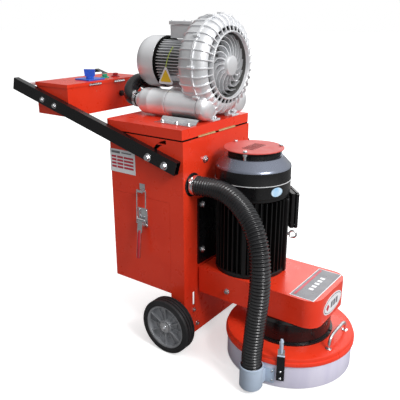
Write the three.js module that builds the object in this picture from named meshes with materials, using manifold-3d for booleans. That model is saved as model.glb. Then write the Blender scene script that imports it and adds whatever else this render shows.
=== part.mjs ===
// A walk-behind planetary concrete grinder with its own dust extractor.
// The grinding head and its upright motor stand in front, the dust cabinet carries a ring
// blower on its lid, and a folding handle with the control box reaches out behind.
//
// Millimetres, +Z up, +X towards the grinding head.  While it is built, x = 0 is the wheel
// axle, y = 0 the centre plane and z = 0 the floor.  The last lines move the whole machine so
// that its origin is the bottom centre of its bounding box.  "Right" is the -Y side.
import * as THREE from "three";
import { mergeVertices } from "three/addons/utils/BufferGeometryUtils.js";
import Module from "manifold-3d";

const wasm = await Module();
wasm.setup();

// ---------------------------------------------------------------- driving dimensions
const GAP = 0.3; // air left between two pieces that touch
const SHEET = 3; // folded steel sheet
const RIGHT = -1;
const LEFT = 1;

const cabinet = { rear: -286, front: 37, half: 199, top: 748, seam: 533, foot: 30 };
const column = { rear: -22, slotX: 0, slotLow: 88, slotHigh: 174 };
const shelf = { low: 728, high: 731, hole: 106 };
const bin = { rear: -286, front: -22.5, low: 196 };
const lid = { rear: -310, front: 33, low: 753, high: 786, corner: 26 };
const inlet = { y: -150, z: 598, bore: 27, radius: 32, end: 60 };
const latch = { x: -140, hingeOut: 14, hingeZ: 452, throw: 14, barOut: 8.5, barZ: 557.5, wire: 2 };

const wheel = { radius: 100, rim: 79, width: 50, outer: 269, axle: 10 };
const bracket = { low: 46, high: 140, half: 165, cheek: 6, slotY: 145 };

const pivot = { x: -22, z: 668 };
const bar = { rear: -777, front: 45, height: 45, depth: 22, inner: 200.5, wall: 2.5, rise: 6.8 };
const tilt = THREE.MathUtils.degToRad(15.1);
const foldSlot = { radius: 72, width: 13, from: 98, to: 171 };
const buttons = { start: [-548, 48], stop: [-543, 103], stem: 6 };
const controls = { rear: -664, front: -491.5, half: 197, low: 770, high: 884, top: 888 };

const motor = { x: 179, core: 98, fin: 121, fins: 12, low: 290.3, high: 572, bore: 18 };
const cowl = { radius: 126, mouth: 98, intake: 86, low: 572.3, shoulder: 663, high: 691 };
const cap = { radius: 100, low: 713.5, high: 716.5, post: 4.5, postReach: 92 };
const arm = { rear: 45.3, front: 493, half: 124, low: 193, high: 290, corner: 50 };

const head = { x: 345, shroud: 220, low: 85, high: 112, plate: 4, lip: 4, bore: 64 };
const gearbox = { radius: 138, low: 112.3, high: 192.6, bore: 18, recess: 62, roof: 150 };
const pulley = { driver: 45, driven: 67.5, low: 214, high: 250, belt: 9, shaft: 15 };
const disc = { radius: 158, low: 60, high: 76, hub: 45, hubHigh: 145 };
const planet = { reach: 95, plate: 66, low: 22, high: 34, spindle: 12, top: 80, segments: 4 };
const skirt = { inner: 211, outer: 214, low: 2, high: 90 };
const port = { x: 348, y: -260, radius: 37, bore: 33.5, low: 14, floor: 40, high: 92 };
const hoseRadius = 32;
const hoseEnd = 58;

const blower = { y: 56, z: 967, front: 50, back: -68, radius: 160, ring: 110 };
const blowerMotor = { core: 75, fin: 85, rear: -217, fins: 12 };
const fanCover = { radius: 92, rear: -312, front: -224 };
const muffler = { right: -96, left: 96, down: 131, radius: 46, rear: -282, front: -134 };

// ---------------------------------------------------------------- finishes
function finish(colour, roughness, metalness) {
  return new THREE.MeshStandardMaterial({ color: colour, roughness, metalness });
}
const paint = finish(0xd92a14, 0.25, 0.1);
const blackPaint = finish(0x0c0c0e, 0.3, 0.1);
const castAluminium = finish(0xc3c6ca, 0.45, 0.85);
const zinc = finish(0xcfd3d6, 0.3, 0.95);
const rubber = finish(0x16171a, 0.75, 0);
const skirtWhite = finish(0xdfdcf0, 0.5, 0);
const portGrey = finish(0xb9c4d2, 0.5, 0.1);
const castIron = finish(0x4a4a4c, 0.7, 0.6);
const filterPaper = finish(0xe9e6dc, 0.9, 0);
const bluePlastic = finish(0x2a52c8, 0.4, 0);
const greenPlastic = finish(0x1fa06a, 0.4, 0);
const redPlastic = finish(0xc4202c, 0.4, 0);

// ---------------------------------------------------------------- solids
// Turns a closed geometry into a solid, with shared corners merged and its faces outwards.
function solid(geometry) {
  const bare = new THREE.BufferGeometry();
  bare.setAttribute("position", geometry.getAttribute("position"));
  bare.setIndex(geometry.index);
  const merged = mergeVertices(bare, 1e-4);
  const corners = [];
  const index = merged.index.array;
  for (let i = 0; i < index.length; i += 3) {
    const [a, b, c] = index.slice(i, i + 3);
    if (a !== b && b !== c && c !== a) corners.push(a, b, c);
  }
  const build = (triangles) =>
    new wasm.Manifold(
      new wasm.Mesh({
        numProp: 3,
        vertProperties: merged.attributes.position.array,
        triVerts: new Uint32Array(triangles),
      }),
    );
  const made = build(corners);
  return made.volume() > 0 ? made : build(corners.reverse());
}

function join(...pieces) {
  return pieces.flat().reduce((whole, piece) => whole.add(piece));
}

function cut(body, ...tools) {
  return tools.flat().reduce((whole, tool) => whole.subtract(tool), body);
}

function box(x0, x1, y0, y1, z0, z1) {
  const g = new THREE.BoxGeometry(x1 - x0, y1 - y0, z1 - z0);
  g.translate((x0 + x1) / 2, (y0 + y1) / 2, (z0 + z1) / 2);
  return solid(g);
}

// Lays a geometry made along +Z so that its Z runs along the named axis instead.
function along(axis, geometry) {
  const frames = {
    x: [new THREE.Vector3(0, 1, 0), new THREE.Vector3(0, 0, 1), new THREE.Vector3(1, 0, 0)],
    y: [new THREE.Vector3(0, 0, 1), new THREE.Vector3(1, 0, 0), new THREE.Vector3(0, 1, 0)],
  };
  if (axis !== "z") geometry.applyMatrix4(new THREE.Matrix4().makeBasis(...frames[axis]));
  return geometry;
}

// A round solid from a half profile of [radius, height] points, turned about the named axis
// through the point (x, y, z).
function turned(axis, profile, segments, x = 0, y = 0, z = 0) {
  const points = profile.map(([radius, height]) => new THREE.Vector2(radius, height));
  if (profile[0][0] > 0) points.push(points[0].clone());
  const g = new THREE.LatheGeometry(points, segments);
  g.rotateX(Math.PI / 2);
  along(axis, g);
  g.translate(x, y, z);
  return solid(g);
}

function rod(axis, radius, from, to, x = 0, y = 0, z = 0, segments = 32) {
  return turned(axis, [[0, from], [radius, from], [radius, to], [0, to]], segments, x, y, z);
}

function ring(axis, inner, outer, from, to, x = 0, y = 0, z = 0, segments = 48) {
  const profile = [[inner, from], [outer, from], [outer, to], [inner, to]];
  return turned(axis, profile, segments, x, y, z);
}

// A prism of a flat outline.  The outline is read as (x, y) along z, (x, z) along y or
// (y, z) along x.
function prism(axis, outline, from, to, curveSegments = 5) {
  const isShape = outline instanceof THREE.Shape;
  const shape = isShape ? outline : new THREE.Shape(outline.map((p) => new THREE.Vector2(...p)));
  const g = new THREE.ExtrudeGeometry(shape, { depth: to - from, bevelEnabled: false, curveSegments });
  g.translate(0, 0, from);
  if (axis === "x") along("x", g);
  if (axis === "y") {
    g.rotateX(Math.PI / 2);
    g.scale(1, -1, 1);
  }
  return solid(g);
}

// A rectangle whose corners at the high-x end, the low-x end, or both are rounded.
function roundedOutline(x0, x1, y0, y1, lowRadius, highRadius) {
  const shape = new THREE.Shape();
  const corner = (x, y, radius, quarter) => {
    const start = (quarter * Math.PI) / 2;
    if (radius > 0) shape.absarc(x, y, radius, start, start + Math.PI / 2, false);
    else shape.lineTo(x, y);
  };
  shape.moveTo(x1 - highRadius, y0);
  corner(x1 - highRadius, y0 + highRadius, highRadius, 3);
  corner(x1 - highRadius, y1 - highRadius, highRadius, 0);
  corner(x0 + lowRadius, y1 - lowRadius, lowRadius, 1);
  corner(x0 + lowRadius, y0 + lowRadius, lowRadius, 2);
  return shape;
}

// A round bar that follows a smooth curve through the given points.
function swept(points, radius, sides, steps, tension = 0.5) {
  const path = new THREE.CatmullRomCurve3(
    points.map((p) => new THREE.Vector3(...p)),
    false,
    "catmullrom",
    tension,
  );
  const section = new THREE.Shape();
  for (let i = 0; i < sides; i++) {
    const a = (2 * Math.PI * i) / sides;
    if (i === 0) section.moveTo(radius, 0);
    else section.lineTo(radius * Math.cos(a), radius * Math.sin(a));
  }
  return solid(new THREE.ExtrudeGeometry(section, { steps, bevelEnabled: false, extrudePath: path }));
}

// A star outline: a core circle with straight fins standing out of it.
function finnedOutline(core, tip, fins) {
  const points = [];
  const half = (Math.PI / fins) * 0.32;
  for (let i = 0; i < fins; i++) {
    const a = (2 * Math.PI * i) / fins;
    const root = half * 1.25;
    points.push([core * Math.cos(a - root), core * Math.sin(a - root)]);
    points.push([tip * Math.cos(a - half), tip * Math.sin(a - half)]);
    points.push([tip * Math.cos(a + half), tip * Math.sin(a + half)]);
    points.push([core * Math.cos(a + root), core * Math.sin(a + root)]);
  }
  return points;
}

function around(count, make) {
  return Array.from({ length: count }, (_, i) => make((2 * Math.PI * i) / count, i));
}

function group(parent, x = 0, y = 0, z = 0) {
  const made = new THREE.Group();
  made.position.set(x, y, z);
  parent.add(made);
  return made;
}

// The three.js geometry of a solid.
function geometryOf(shape) {
  const mesh = shape.getMesh();
  const g = new THREE.BufferGeometry();
  g.setAttribute("position", new THREE.BufferAttribute(new Float32Array(mesh.vertProperties), 3));
  g.setIndex(new THREE.BufferAttribute(new Uint32Array(mesh.triVerts), 1));
  return g;
}

function add(parent, name, material, shape) {
  const g = geometryOf(shape);
  g.computeVertexNormals();
  const made = new THREE.Mesh(g, material);
  made.name = name;
  parent.add(made);
  return made;
}

// ---------------------------------------------------------------- dust cabinet
// The arc slot that the handle's clamping bolts run in.
function foldSlotCutter(y0, y1) {
  const inner = foldSlot.radius - foldSlot.width / 2;
  const outer = foldSlot.radius + foldSlot.width / 2;
  const from = THREE.MathUtils.degToRad(foldSlot.from);
  const to = THREE.MathUtils.degToRad(foldSlot.to);
  const shape = new THREE.Shape();
  shape.absarc(pivot.x, pivot.z, outer, from, to, false);
  shape.absarc(pivot.x, pivot.z, inner, to, from, true);
  return prism("y", shape, y0, y1, 8);
}

function sidePlate(side) {
  const inner = side * (cabinet.half - SHEET);
  const outer = side * cabinet.half;
  const [y0, y1] = [Math.min(inner, outer), Math.max(inner, outer)];
  const upper = box(cabinet.rear, cabinet.front, y0, y1, cabinet.seam, cabinet.top);
  const lower = box(column.rear, cabinet.front, y0, y1, cabinet.foot, cabinet.seam + 1);
  const { slotX, slotLow, slotHigh } = column;
  const axleSlot = box(slotX - 11, slotX + 11, y0 - 1, y1 + 1, slotLow, slotHigh);
  return cut(join(upper, lower), foldSlotCutter(y0 - 1, y1 + 1), axleSlot);
}

function frontWeb() {
  const inner = cabinet.front - SHEET;
  const web = box(inner, cabinet.front, -cabinet.half, cabinet.half, cabinet.foot, cabinet.top);
  const spigot = rod("x", inlet.radius - 1, inner, inlet.end, 0, inlet.y, inlet.z, 24);
  const bore = rod("x", inlet.bore, inner - 1, inlet.end + 1, 0, inlet.y, inlet.z, 24);
  const slots = [-bracket.slotY, bracket.slotY].map((y) =>
    box(inner - 1, cabinet.front + 1, y - 6, y + 6, 112, 198),
  );
  return cut(join(web, spigot), bore, slots);
}

function cabinetBody() {
  const { rear, front, half, seam, top } = cabinet;
  const back = box(rear, rear + SHEET, -half, half, seam, top);
  const filterShelf = cut(
    box(rear + 1, front - 1, 1 - half, half - 1, shelf.low, shelf.high),
    rod("z", shelf.hole, shelf.low - 1, shelf.high + 1, -140, 0, 0, 32),
  );
  return join(sidePlate(RIGHT), sidePlate(LEFT), frontWeb(), back, filterShelf);
}

function dustBin() {
  const top = cabinet.seam - 0.6;
  const shell = box(bin.rear, bin.front, -cabinet.half, cabinet.half, bin.low, top);
  const room = box(
    bin.rear + SHEET,
    bin.front - SHEET,
    SHEET - cabinet.half,
    cabinet.half - SHEET,
    bin.low + SHEET,
    top + 1,
  );
  return cut(shell, room);
}

function filterCartridge() {
  const flange = ring("z", 60, shelf.hole + 12, shelf.high + GAP, shelf.high + 6, -140, 0, 0, 28);
  const drum = rod("z", 102, 560, shelf.high + 1, -140, 0, 0, 28);
  const body = cut(drum, rod("z", 60, 572, shelf.high + 2, -140, 0, 0, 28));
  return join(flange, body);
}

function cabinetLid() {
  const outline = roundedOutline(lid.rear, lid.front, -cabinet.half, cabinet.half, lid.corner, 0);
  const inner = lid.corner - SHEET;
  const hollow = roundedOutline(
    lid.rear + SHEET,
    lid.front - SHEET,
    SHEET - cabinet.half,
    cabinet.half - SHEET,
    inner,
    0,
  );
  return cut(prism("z", outline, lid.low, lid.high), prism("z", hollow, lid.low - 1, lid.high - SHEET));
}

// ---------------------------------------------------------------- bin latches
// One over-centre latch: keeper on the cabinet, base on the bin, lever and wire bail between.
function addLatch(parent, side, label) {
  const wall = cabinet.half;
  const { x, hingeOut, hingeZ, throw: reach, barOut, barZ, wire } = latch;
  const out = (distance) => side * (wall + distance);
  const profile = (points, halfWidth, at = x) =>
    prism("x", points.map(([d, z]) => [out(d), z]), at - halfWidth, at + halfWidth);

  const hook = [[GAP, 581], [2.3, 581], [2.3, 554.5], [13, 554.5], [13, 560], [15, 560], [15, 552],
    [GAP, 552]];
  add(parent, `latch_keeper_${label}`, zinc, profile(hook, 12));

  const plate = profile([[GAP, 425], [3.3, 425], [3.3, 493], [GAP, 493]], 21);
  const ear = [[3, hingeZ - 6], [hingeOut, hingeZ - 6], [hingeOut, hingeZ + 6], [3, hingeZ + 6]];
  const ears = [x - 15.5, x + 15.5].map((at) =>
    join(
      profile(ear, 1.5, at),
      rod("x", 6, at - 1.5, at + 1.5, 0, out(hingeOut), hingeZ, 12),
    ),
  );
  add(parent, `latch_base_${label}`, zinc, join(plate, ears));

  const hub = rod("x", 6, x - 13, x + 13, 0, out(hingeOut), hingeZ, 12);
  const cheek = profile([[9, hingeZ], [19, hingeZ], [25, 408], [19, 406], [10, 434]], 11);
  const grip = profile([[20, 412], [27, 410], [37, 318], [31, 316]], 7.5);
  add(parent, `latch_lever_${label}`, redPlastic, join(hub, cheek, grip));

  const pinZ = hingeZ - reach;
  const leg = (at) => {
    const points = [
      [at, out(hingeOut), pinZ],
      [at, out((hingeOut + barOut) / 2), (pinZ + barZ) / 2],
      [at, out(barOut), barZ],
    ];
    return swept(points, wire, 6, 1);
  };
  const across = (from, to, distance, z) => rod("x", wire, from, to, 0, out(distance), z, 8);
  const bail = join(
    leg(x - 20),
    leg(x + 20),
    across(x - 21.5, x + 21.5, barOut, barZ),
    across(x - 21.5, x - 11.5, hingeOut, pinZ),
    across(x + 11.5, x + 21.5, hingeOut, pinZ),
  );
  add(parent, `latch_bail_${label}`, zinc, bail);
}

// ---------------------------------------------------------------- wheels
function axleBracket() {
  const { low, high, half, cheek } = bracket;
  const front = cabinet.front - SHEET - 0.5;
  const web = box(front - 4, front, -half, half, low, high);
  const cheeks = [RIGHT, LEFT].map((side) => {
    const y = side * (half - cheek / 2);
    return box(-16, front - 0.5, y - cheek / 2, y + cheek / 2, low, high);
  });
  const bore = rod("y", wheel.axle + 0.6, -200, 200, 0, 0, wheel.radius, 16);
  return cut(join(web, cheeks), bore);
}

function tyre() {
  const half = wheel.width / 2;
  const { radius, rim } = wheel;
  const inner = rim + 1;
  const profile = [[inner, -half], [radius - 6, -half], [radius, 6 - half], [radius, half - 6],
    [radius - 6, half], [inner, half]];
  return turned("y", profile, 32);
}

function hub() {
  const { rim, axle } = wheel;
  const profile = [[axle + GAP, -21], [28, -21], [28, -6], [rim - 8, -6], [rim - 8, -21], [rim, -21],
    [rim, 21], [rim - 8, 21], [rim - 8, 6], [28, 6], [28, 21], [axle + GAP, 21]];
  return turned("y", profile, 16);
}

function addWheel(parent, side, label) {
  const at = group(parent, 0, side * (wheel.outer - wheel.width / 2), wheel.radius);
  add(at, `tyre_${label}`, rubber, tyre());
  add(at, `wheel_hub_${label}`, castAluminium, hub());
}

// ---------------------------------------------------------------- handle and controls
function handleBar(side) {
  const outer = side * (bar.inner + bar.depth);
  const inner = side * bar.inner;
  const [y0, y1] = [Math.min(inner, outer), Math.max(inner, outer)];
  const low = bar.rise - bar.height / 2;
  const tube = box(bar.rear, bar.front, y0, y1, low, low + bar.height);
  const hollow = box(
    bar.rear - 1,
    bar.front + 1,
    y0 + bar.wall,
    y1 - bar.wall,
    low + bar.wall,
    low + bar.height - bar.wall,
  );
  return cut(tube, hollow);
}

function controlBox() {
  const shell = box(controls.rear, controls.front, -controls.half, controls.half, controls.low, controls.high);
  const room = box(
    controls.rear + 2,
    controls.front - 2,
    2 - controls.half,
    controls.half - 2,
    controls.low + 2,
    controls.high + 1,
  );
  return cut(shell, room);
}

function controlLid() {
  const { rear, front, half, top } = controls;
  const shell = box(rear - 3, front + 3, -half - 2.5, half + 2.5, top - 13, top);
  const room = box(rear - 1.3, front + 1.3, -half - 0.8, half + 0.8, top - 14, top - 2.5);
  const stemHoles = [buttons.start, buttons.stop].map(([x, y]) =>
    rod("z", buttons.stem + 0.8, top - 4, top + 1, x, y, 0, 24),
  );
  return cut(shell, room, stemHoles);
}

function selectorKnob() {
  const base = controls.top + 5.3;
  const collar = rod("z", 15, base, base + 8, 0, 0, 0, 28);
  const outline = [[-19, base + 7], [19, base + 7], [22, base + 34], [-22, base + 34]];
  const blade = prism("x", outline, -4.5, 4.5);
  return join(collar, blade);
}

function pushButton() {
  const top = controls.top;
  const head = rod("z", 10.5, top + 7, top + 15, 0, 0, 0, 24);
  const stem = rod("z", buttons.stem, top + GAP, top + 8, 0, 0, 0, 24);
  return join(head, stem);
}

// ---------------------------------------------------------------- main motor and belt drive
function motorFrame() {
  const body = prism("z", finnedOutline(motor.core, motor.fin, motor.fins), motor.low + 8, motor.high - 8);
  const foot = rod("z", 122, motor.low, motor.low + 12, 0, 0, 0, 32);
  const collar = rod("z", 123, motor.high - 14, motor.high, 0, 0, 0, 32);
  const bore = rod("z", motor.bore, motor.low - 1, motor.high + 1, 0, 0, 0, 16);
  return cut(join(body, foot, collar), bore);
}

function motorCowl() {
  const { radius, mouth, intake, low, shoulder, high } = cowl;
  const skin = 2.5;
  return turned(
    "z",
    [[radius, low], [radius, shoulder], [mouth, high], [intake, high], [intake, high - skin],
      [mouth - 1, high - skin], [radius - skin, shoulder - 1], [radius - skin, low]],
    28,
  );
}

function rainCap() {
  const plate = rod("z", cap.radius, cap.low, cap.high, 0, 0, 0, 28);
  const posts = around(3, (a) => {
    const turn = a - 1.34;
    const x = cap.postReach * Math.cos(turn);
    const y = cap.postReach * Math.sin(turn);
    return rod("z", cap.post, cowl.high + GAP, cap.high + 7, x, y, 0, 6);
  });
  return join(plate, posts);
}

function fan(radius, hubRadius, low, high, blades) {
  const core = rod("z", hubRadius, low, high, 0, 0, 0, 16);
  const backPlate = rod("z", radius - 4, low, low + 3, 0, 0, 0, 24);
  const vanes = around(blades, (a) => {
    const vane = new THREE.BoxGeometry(radius - hubRadius, 3, high - low - 2);
    vane.translate((radius + hubRadius) / 2 - 1, 0, (low + high) / 2);
    vane.rotateZ(a);
    return solid(vane);
  });
  return join(core, backPlate, vanes);
}

function armOutline(inset) {
  const corner = arm.corner - inset;
  const half = arm.half - inset;
  return roundedOutline(arm.rear + inset, arm.front - inset, -half, half, 0, corner);
}

function beltHousing() {
  const shell = prism("z", armOutline(0), arm.low, arm.high, 6);
  const room = prism("z", armOutline(SHEET), arm.low + SHEET, arm.high - SHEET, 6);
  const motorHole = rod("z", 24, arm.high - SHEET - 1, arm.high + 1, motor.x, 0, 0, 20);
  const gearHole = rod("z", 42, arm.low - 1, arm.low + SHEET + 1, head.x, 0, 0, 20);
  return cut(shell, room, motorHole, gearHole);
}

// The outline of a flat belt's outer or inner face round both pulleys.
function beltShape(extra) {
  const span = head.x - motor.x;
  const small = pulley.driver + GAP + extra;
  const large = pulley.driven + GAP + extra;
  const lean = Math.acos((small - large) / span);
  const shape = new THREE.Shape();
  shape.absarc(motor.x, 0, small, lean, 2 * Math.PI - lean, false);
  shape.absarc(head.x, 0, large, -lean, lean, false);
  return shape;
}

function driveBelt() {
  const outer = prism("z", beltShape(pulley.belt), pulley.low + 4, pulley.high - 4, 12);
  const inner = prism("z", beltShape(0), pulley.low, pulley.high, 12);
  return cut(outer, inner);
}

function beltPulley(radius, bore) {
  const { low, high } = pulley;
  return ring("z", bore, radius, low, high, 0, 0, 0, 24);
}

function drivenPulley() {
  const shaft = rod("z", pulley.shaft, gearbox.roof + 2, pulley.high + 10, 0, 0, 0, 16);
  return join(shaft, beltPulley(pulley.driven, pulley.shaft - 1));
}

// ---------------------------------------------------------------- grinding head
function shroudCover() {
  const { shroud, low, high, plate, lip, bore } = head;
  const profile = [[bore, high - plate], [shroud - lip, high - plate], [shroud - lip, low],
    [shroud, low], [shroud, high - 5], [shroud - 5, high], [bore, high]];
  return turned("z", profile, 36);
}

function gearboxHousing() {
  const { radius, low, high, bore, recess, roof } = gearbox;
  const profile = [[recess, low], [radius, low], [radius, high - 6], [radius - 6, high], [bore, high],
    [bore, roof], [recess, roof]];
  return turned("z", profile, 24);
}

function mainDisc() {
  const plate = rod("z", disc.radius, disc.low, disc.high, 0, 0, 0, 24);
  const stub = rod("z", disc.hub, disc.high - 1, disc.hubHigh, 0, 0, 0, 20);
  const bores = around(3, (a) => {
    const x = planet.reach * Math.cos(a);
    const y = planet.reach * Math.sin(a);
    return rod("z", planet.spindle + 1, disc.low - 1, disc.high + 1, x, y, 0, 16);
  });
  return cut(join(plate, stub), bores);
}

function grindingHead() {
  const spindle = rod("z", planet.spindle, planet.high - 1, planet.top, 0, 0, 0, 10);
  const plate = rod("z", planet.plate, planet.low, planet.high, 0, 0, 0, 18);
  const segments = around(planet.segments, (a) => {
    const block = new THREE.BoxGeometry(24, 11, planet.low + 1);
    block.translate(planet.plate - 15, 0, (planet.low + 1) / 2);
    block.rotateZ(a);
    return solid(block);
  });
  return join(spindle, plate, segments);
}

// The hose port: an upright sleeve with a blind foot, riveted to the skirt by a curved flange.
function hosePort() {
  const { x, y, radius, bore, low, floor, high } = port;
  const sleeve = rod("z", radius, low, high, x, y, 0, 28);
  const duct = box(x - 27, x + 27, y + 4, -skirt.outer - 1.5, low + 4, 62);
  const flange = cut(
    ring("z", skirt.outer + 0.4, skirt.outer + 3, low + 1, 66, head.x, 0, 0, 36),
    box(0, 600, -150, 300, 0, 200),
    box(0, head.x - 53, -300, 0, 0, 200),
    box(head.x + 58, 700, -300, 0, 0, 200),
  );
  const clear = rod("z", skirt.outer + 0.4, low - 5, high + 5, head.x, 0, 0, 36);
  const room = rod("z", bore, floor, high + 1, x, y, 0, 28);
  return cut(join(sleeve, cut(duct, clear), flange), room);
}

// Strap and spring hook stand on the skirt, in a frame turned to face outwards there.
function addSkirtLatch(parent) {
  const at = group(parent, head.x, 0, 0);
  at.rotation.z = THREE.MathUtils.degToRad(-69.4);
  const pad = box(skirt.outer + 0.6, 222, -12.5, 12.5, 34, 66);
  const strap = box(221.2, 224.5, -12.5, 12.5, 34, 123);
  add(at, "skirt_latch_strap", blackPaint, join(pad, strap));
  const leaf = prism("y", [[221.4, 125.2], [224.6, 125.2], [225.2, 131], [224.8, 150], [222, 150]], -11, 11);
  const tip = prism("y", [[221.8, 149], [225, 149], [227.5, 172], [224.2, 172]], -6.5, 6.5);
  const knob = rod("y", 5.5, -6.5, 6.5, 226, 0, 175, 16);
  add(at, "skirt_latch_hook", zinc, join(leaf, tip, knob));
}

function bowHandle() {
  const x = head.x + 175;
  const z = head.high + GAP;
  const bow = swept([[x, -68, z], [x, -64, z + 20], [x, -55, z + 36], [x, -38, z + 42],
    [x, 0, z + 42], [x, 38, z + 42], [x, 55, z + 36], [x, 64, z + 20], [x, 68, z]], 5, 8, 12);
  const below = box(x - 20, x + 20, -90, 90, z - 20, z);
  const feet = [-67, 67].map((y) => rod("z", 9, z, z + 4, x, y, 0, 12));
  return cut(join(bow, feet), below);
}

// The corrugated hose from the cabinet's inlet spigot to the skirt's port.
function dustHose() {
  const hose = swept(
    [
      [inlet.end - 5, inlet.y, inlet.z],
      [90, -151, 600],
      [135, -155, 602],
      [180, -166, 600],
      [222, -180, 590],
      [258, -193, 574],
      [287, -206, 555],
      [312, -217, 531],
      [331, -226, 503],
      [345, -234, 470],
      [354, -241, 434],
      [359, -246, 395],
      [361, -250, 354],
      [360, -253, 310],
      [357, -256, 266],
      [354, -258, 220],
      [351, -259, 172],
      [port.x, port.y, 128],
      [port.x, port.y, 92],
      [port.x, port.y, hoseEnd - 5],
    ],
    hoseRadius,
    10,
    22,
  );
  return cut(hose, box(0, inlet.end + GAP, -300, 0, 500, 700), box(200, 500, -400, -100, 0, hoseEnd));
}

// ---------------------------------------------------------------- ring blower
// Built about its own axis: x = 0 is the joint between the two halves of the housing.
function blowerRearHousing() {
  const { radius, back } = blower;
  const cup = turned(
    "x",
    [[20, back], [radius - 24, back], [radius - 6, back + 12], [radius, back + 26], [radius, -GAP],
      [radius - 9, -GAP], [radius - 9, back + 24], [radius - 28, back + 8], [20, back + 8]],
    24,
  );
  const ports = [muffler.right, muffler.left].map((y) =>
    rod("x", muffler.radius, muffler.front + GAP, -GAP, 0, y, -muffler.down, 16),
  );
  const room = rod("x", radius - 9, back + 24, 1, 0, 0, 0, 24);
  return cut(join(cup, ports), room);
}

function blowerFrontCover() {
  const { radius, front, ring: rim } = blower;
  const cover = turned(
    "x",
    [[0, GAP], [radius, GAP], [radius, 14], [radius - 8, 28], [radius - 30, front - 6], [rim + 2, front - 8],
      [rim + 2, front], [rim - 3, front], [rim - 8, 14], [36, 12], [34, front + 4], [0, front + 4]],
    24,
  );
  const ports = [muffler.right, muffler.left].map((y) =>
    turned(
      "x",
      [[0, GAP], [muffler.radius, GAP], [muffler.radius, 18], [28, 34], [0, 36]],
      16,
      0,
      y,
      -muffler.down,
    ),
  );
  const floor = lid.high + GAP - blower.z;
  const feet = [RIGHT, LEFT].map((side) =>
    prism("x", [[side * 40, floor], [side * 76, floor], [side * 82, -120], [side * 48, -130]], GAP, 26),
  );
  const toe = box(GAP, 30, -82, 82, floor, floor + 6);
  return cut(join(cover, ports, feet, toe), box(-1, 80, -300, 300, floor - 100, floor));
}

function impeller() {
  const profile = [[0, -36], [24, -36], [24, -26], [96, -24], [96, -36], [118, -36], [118, -8], [0, -8]];
  const web = turned("x", profile, 20);
  const shaft = rod("x", 12, fanCover.rear + 30, -35, 0, 0, 0, 16);
  return join(web, shaft);
}

function blowerMotorFrame() {
  const { core, fin, rear, fins } = blowerMotor;
  const front = blower.back - GAP;
  const body = prism("x", finnedOutline(core, fin, fins), rear, front - 8);
  const flange = rod("x", 98, front - 10, front, 0, 0, 0, 28);
  const seat = box(rear + 12, front - 12, -42, 42, 60, 88);
  return cut(join(body, flange, seat), rod("x", 16, rear - 1, front + 1, 0, 0, 0, 16));
}

function blowerFanCover() {
  const { radius, rear, front } = fanCover;
  const skin = 3;
  return turned(
    "x",
    [[30, rear], [radius - 30, rear], [radius, rear + 34], [radius, front], [radius - skin, front],
      [radius - skin, rear + 36], [radius - 31, rear + skin], [30, rear + skin]],
    24,
  );
}

function blowerFan() {
  const at = fanCover.rear + 50;
  const shape = fan(84, 24, 0, 34, 6);
  const bored = cut(shape, rod("z", 12 + GAP, -1, 36, 0, 0, 0, 16));
  const g = along("x", geometryOf(bored));
  g.translate(at, 0, 0);
  return solid(g);
}

function mufflerBody(y) {
  const { down, radius, rear, front } = muffler;
  const profile = [[0, rear], [26, rear], [26, rear + 16], [radius - 6, rear + 18], [radius, rear + 26],
    [radius, front], [0, front]];
  return turned("x", profile, 16, 0, y, -down);
}

// The moulded rubber bend from the right muffler to the spigot on the cabinet lid.
function suctionElbow() {
  const elbow = swept(
    [
      [muffler.rear + 4, blower.y + muffler.right, blower.z - muffler.down],
      [-304, -40, 837],
      [-326, -37, 844],
      [-341, -25, 861],
      [-346, -3, 881],
      [-344, 26, 894],
      [-334, 56, 884],
      [-315, 75, 858],
      [-294, 84, 826],
      [-284, 85, 804],
      [-282, 85, lid.high - 4],
    ],
    25,
    10,
    16,
  );
  const clear = [
    box(muffler.rear - GAP, 0, -100, 0, 780, 880),
    box(-400, 0, 0, 200, 700, lid.high + GAP),
  ];
  return cut(elbow, clear);
}

function blowerFootPlate() {
  const low = lid.high + GAP;
  const bend = [[-146, low], [-112, low], [-96, low + 14], [-98, low + 16.5], [-113, low + 2.5],
    [-146, low + 2.5]];
  return prism("x", bend, -126, 24);
}

// ---------------------------------------------------------------- assembly
const machine = new THREE.Group();

const chassis = group(machine);
add(chassis, "cabinet_body", paint, cabinetBody());
add(chassis, "dust_bin", paint, dustBin());
add(chassis, "filter_cartridge", filterPaper, filterCartridge());
addLatch(chassis, RIGHT, "right");
addLatch(chassis, LEFT, "left");
add(chassis, "dust_hose", rubber, dustHose());

const carriage = group(machine);
add(carriage, "axle_bracket", paint, axleBracket());
const axleEnd = wheel.outer - 4;
add(carriage, "axle", zinc, rod("y", wheel.axle, -axleEnd, axleEnd, 0, 0, wheel.radius, 16));
addWheel(carriage, RIGHT, "right");
addWheel(carriage, LEFT, "left");

const handle = group(machine);
const bars = group(handle, pivot.x, 0, pivot.z);
bars.rotation.y = tilt;
add(bars, "handle_bar_right", blackPaint, handleBar(RIGHT));
add(bars, "handle_bar_left", blackPaint, handleBar(LEFT));
const gripEnd = bar.inner - GAP;
add(bars, "rear_cross_handle", zinc, rod("y", 11, -gripEnd, gripEnd, -736, 0, 18, 16));
add(handle, "control_box", paint, controlBox());
add(handle, "control_box_lid", paint, controlLid());
const selector = group(handle, -550, -30, 0);
selector.rotation.z = THREE.MathUtils.degToRad(-62);
add(selector, "selector_switch_knob", bluePlastic, selectorKnob());
const start = group(handle, ...buttons.start, 0);
add(start, "start_button", greenPlastic, pushButton());
const stop = group(handle, ...buttons.stop, 0);
add(stop, "stop_button", redPlastic, pushButton());

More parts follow.
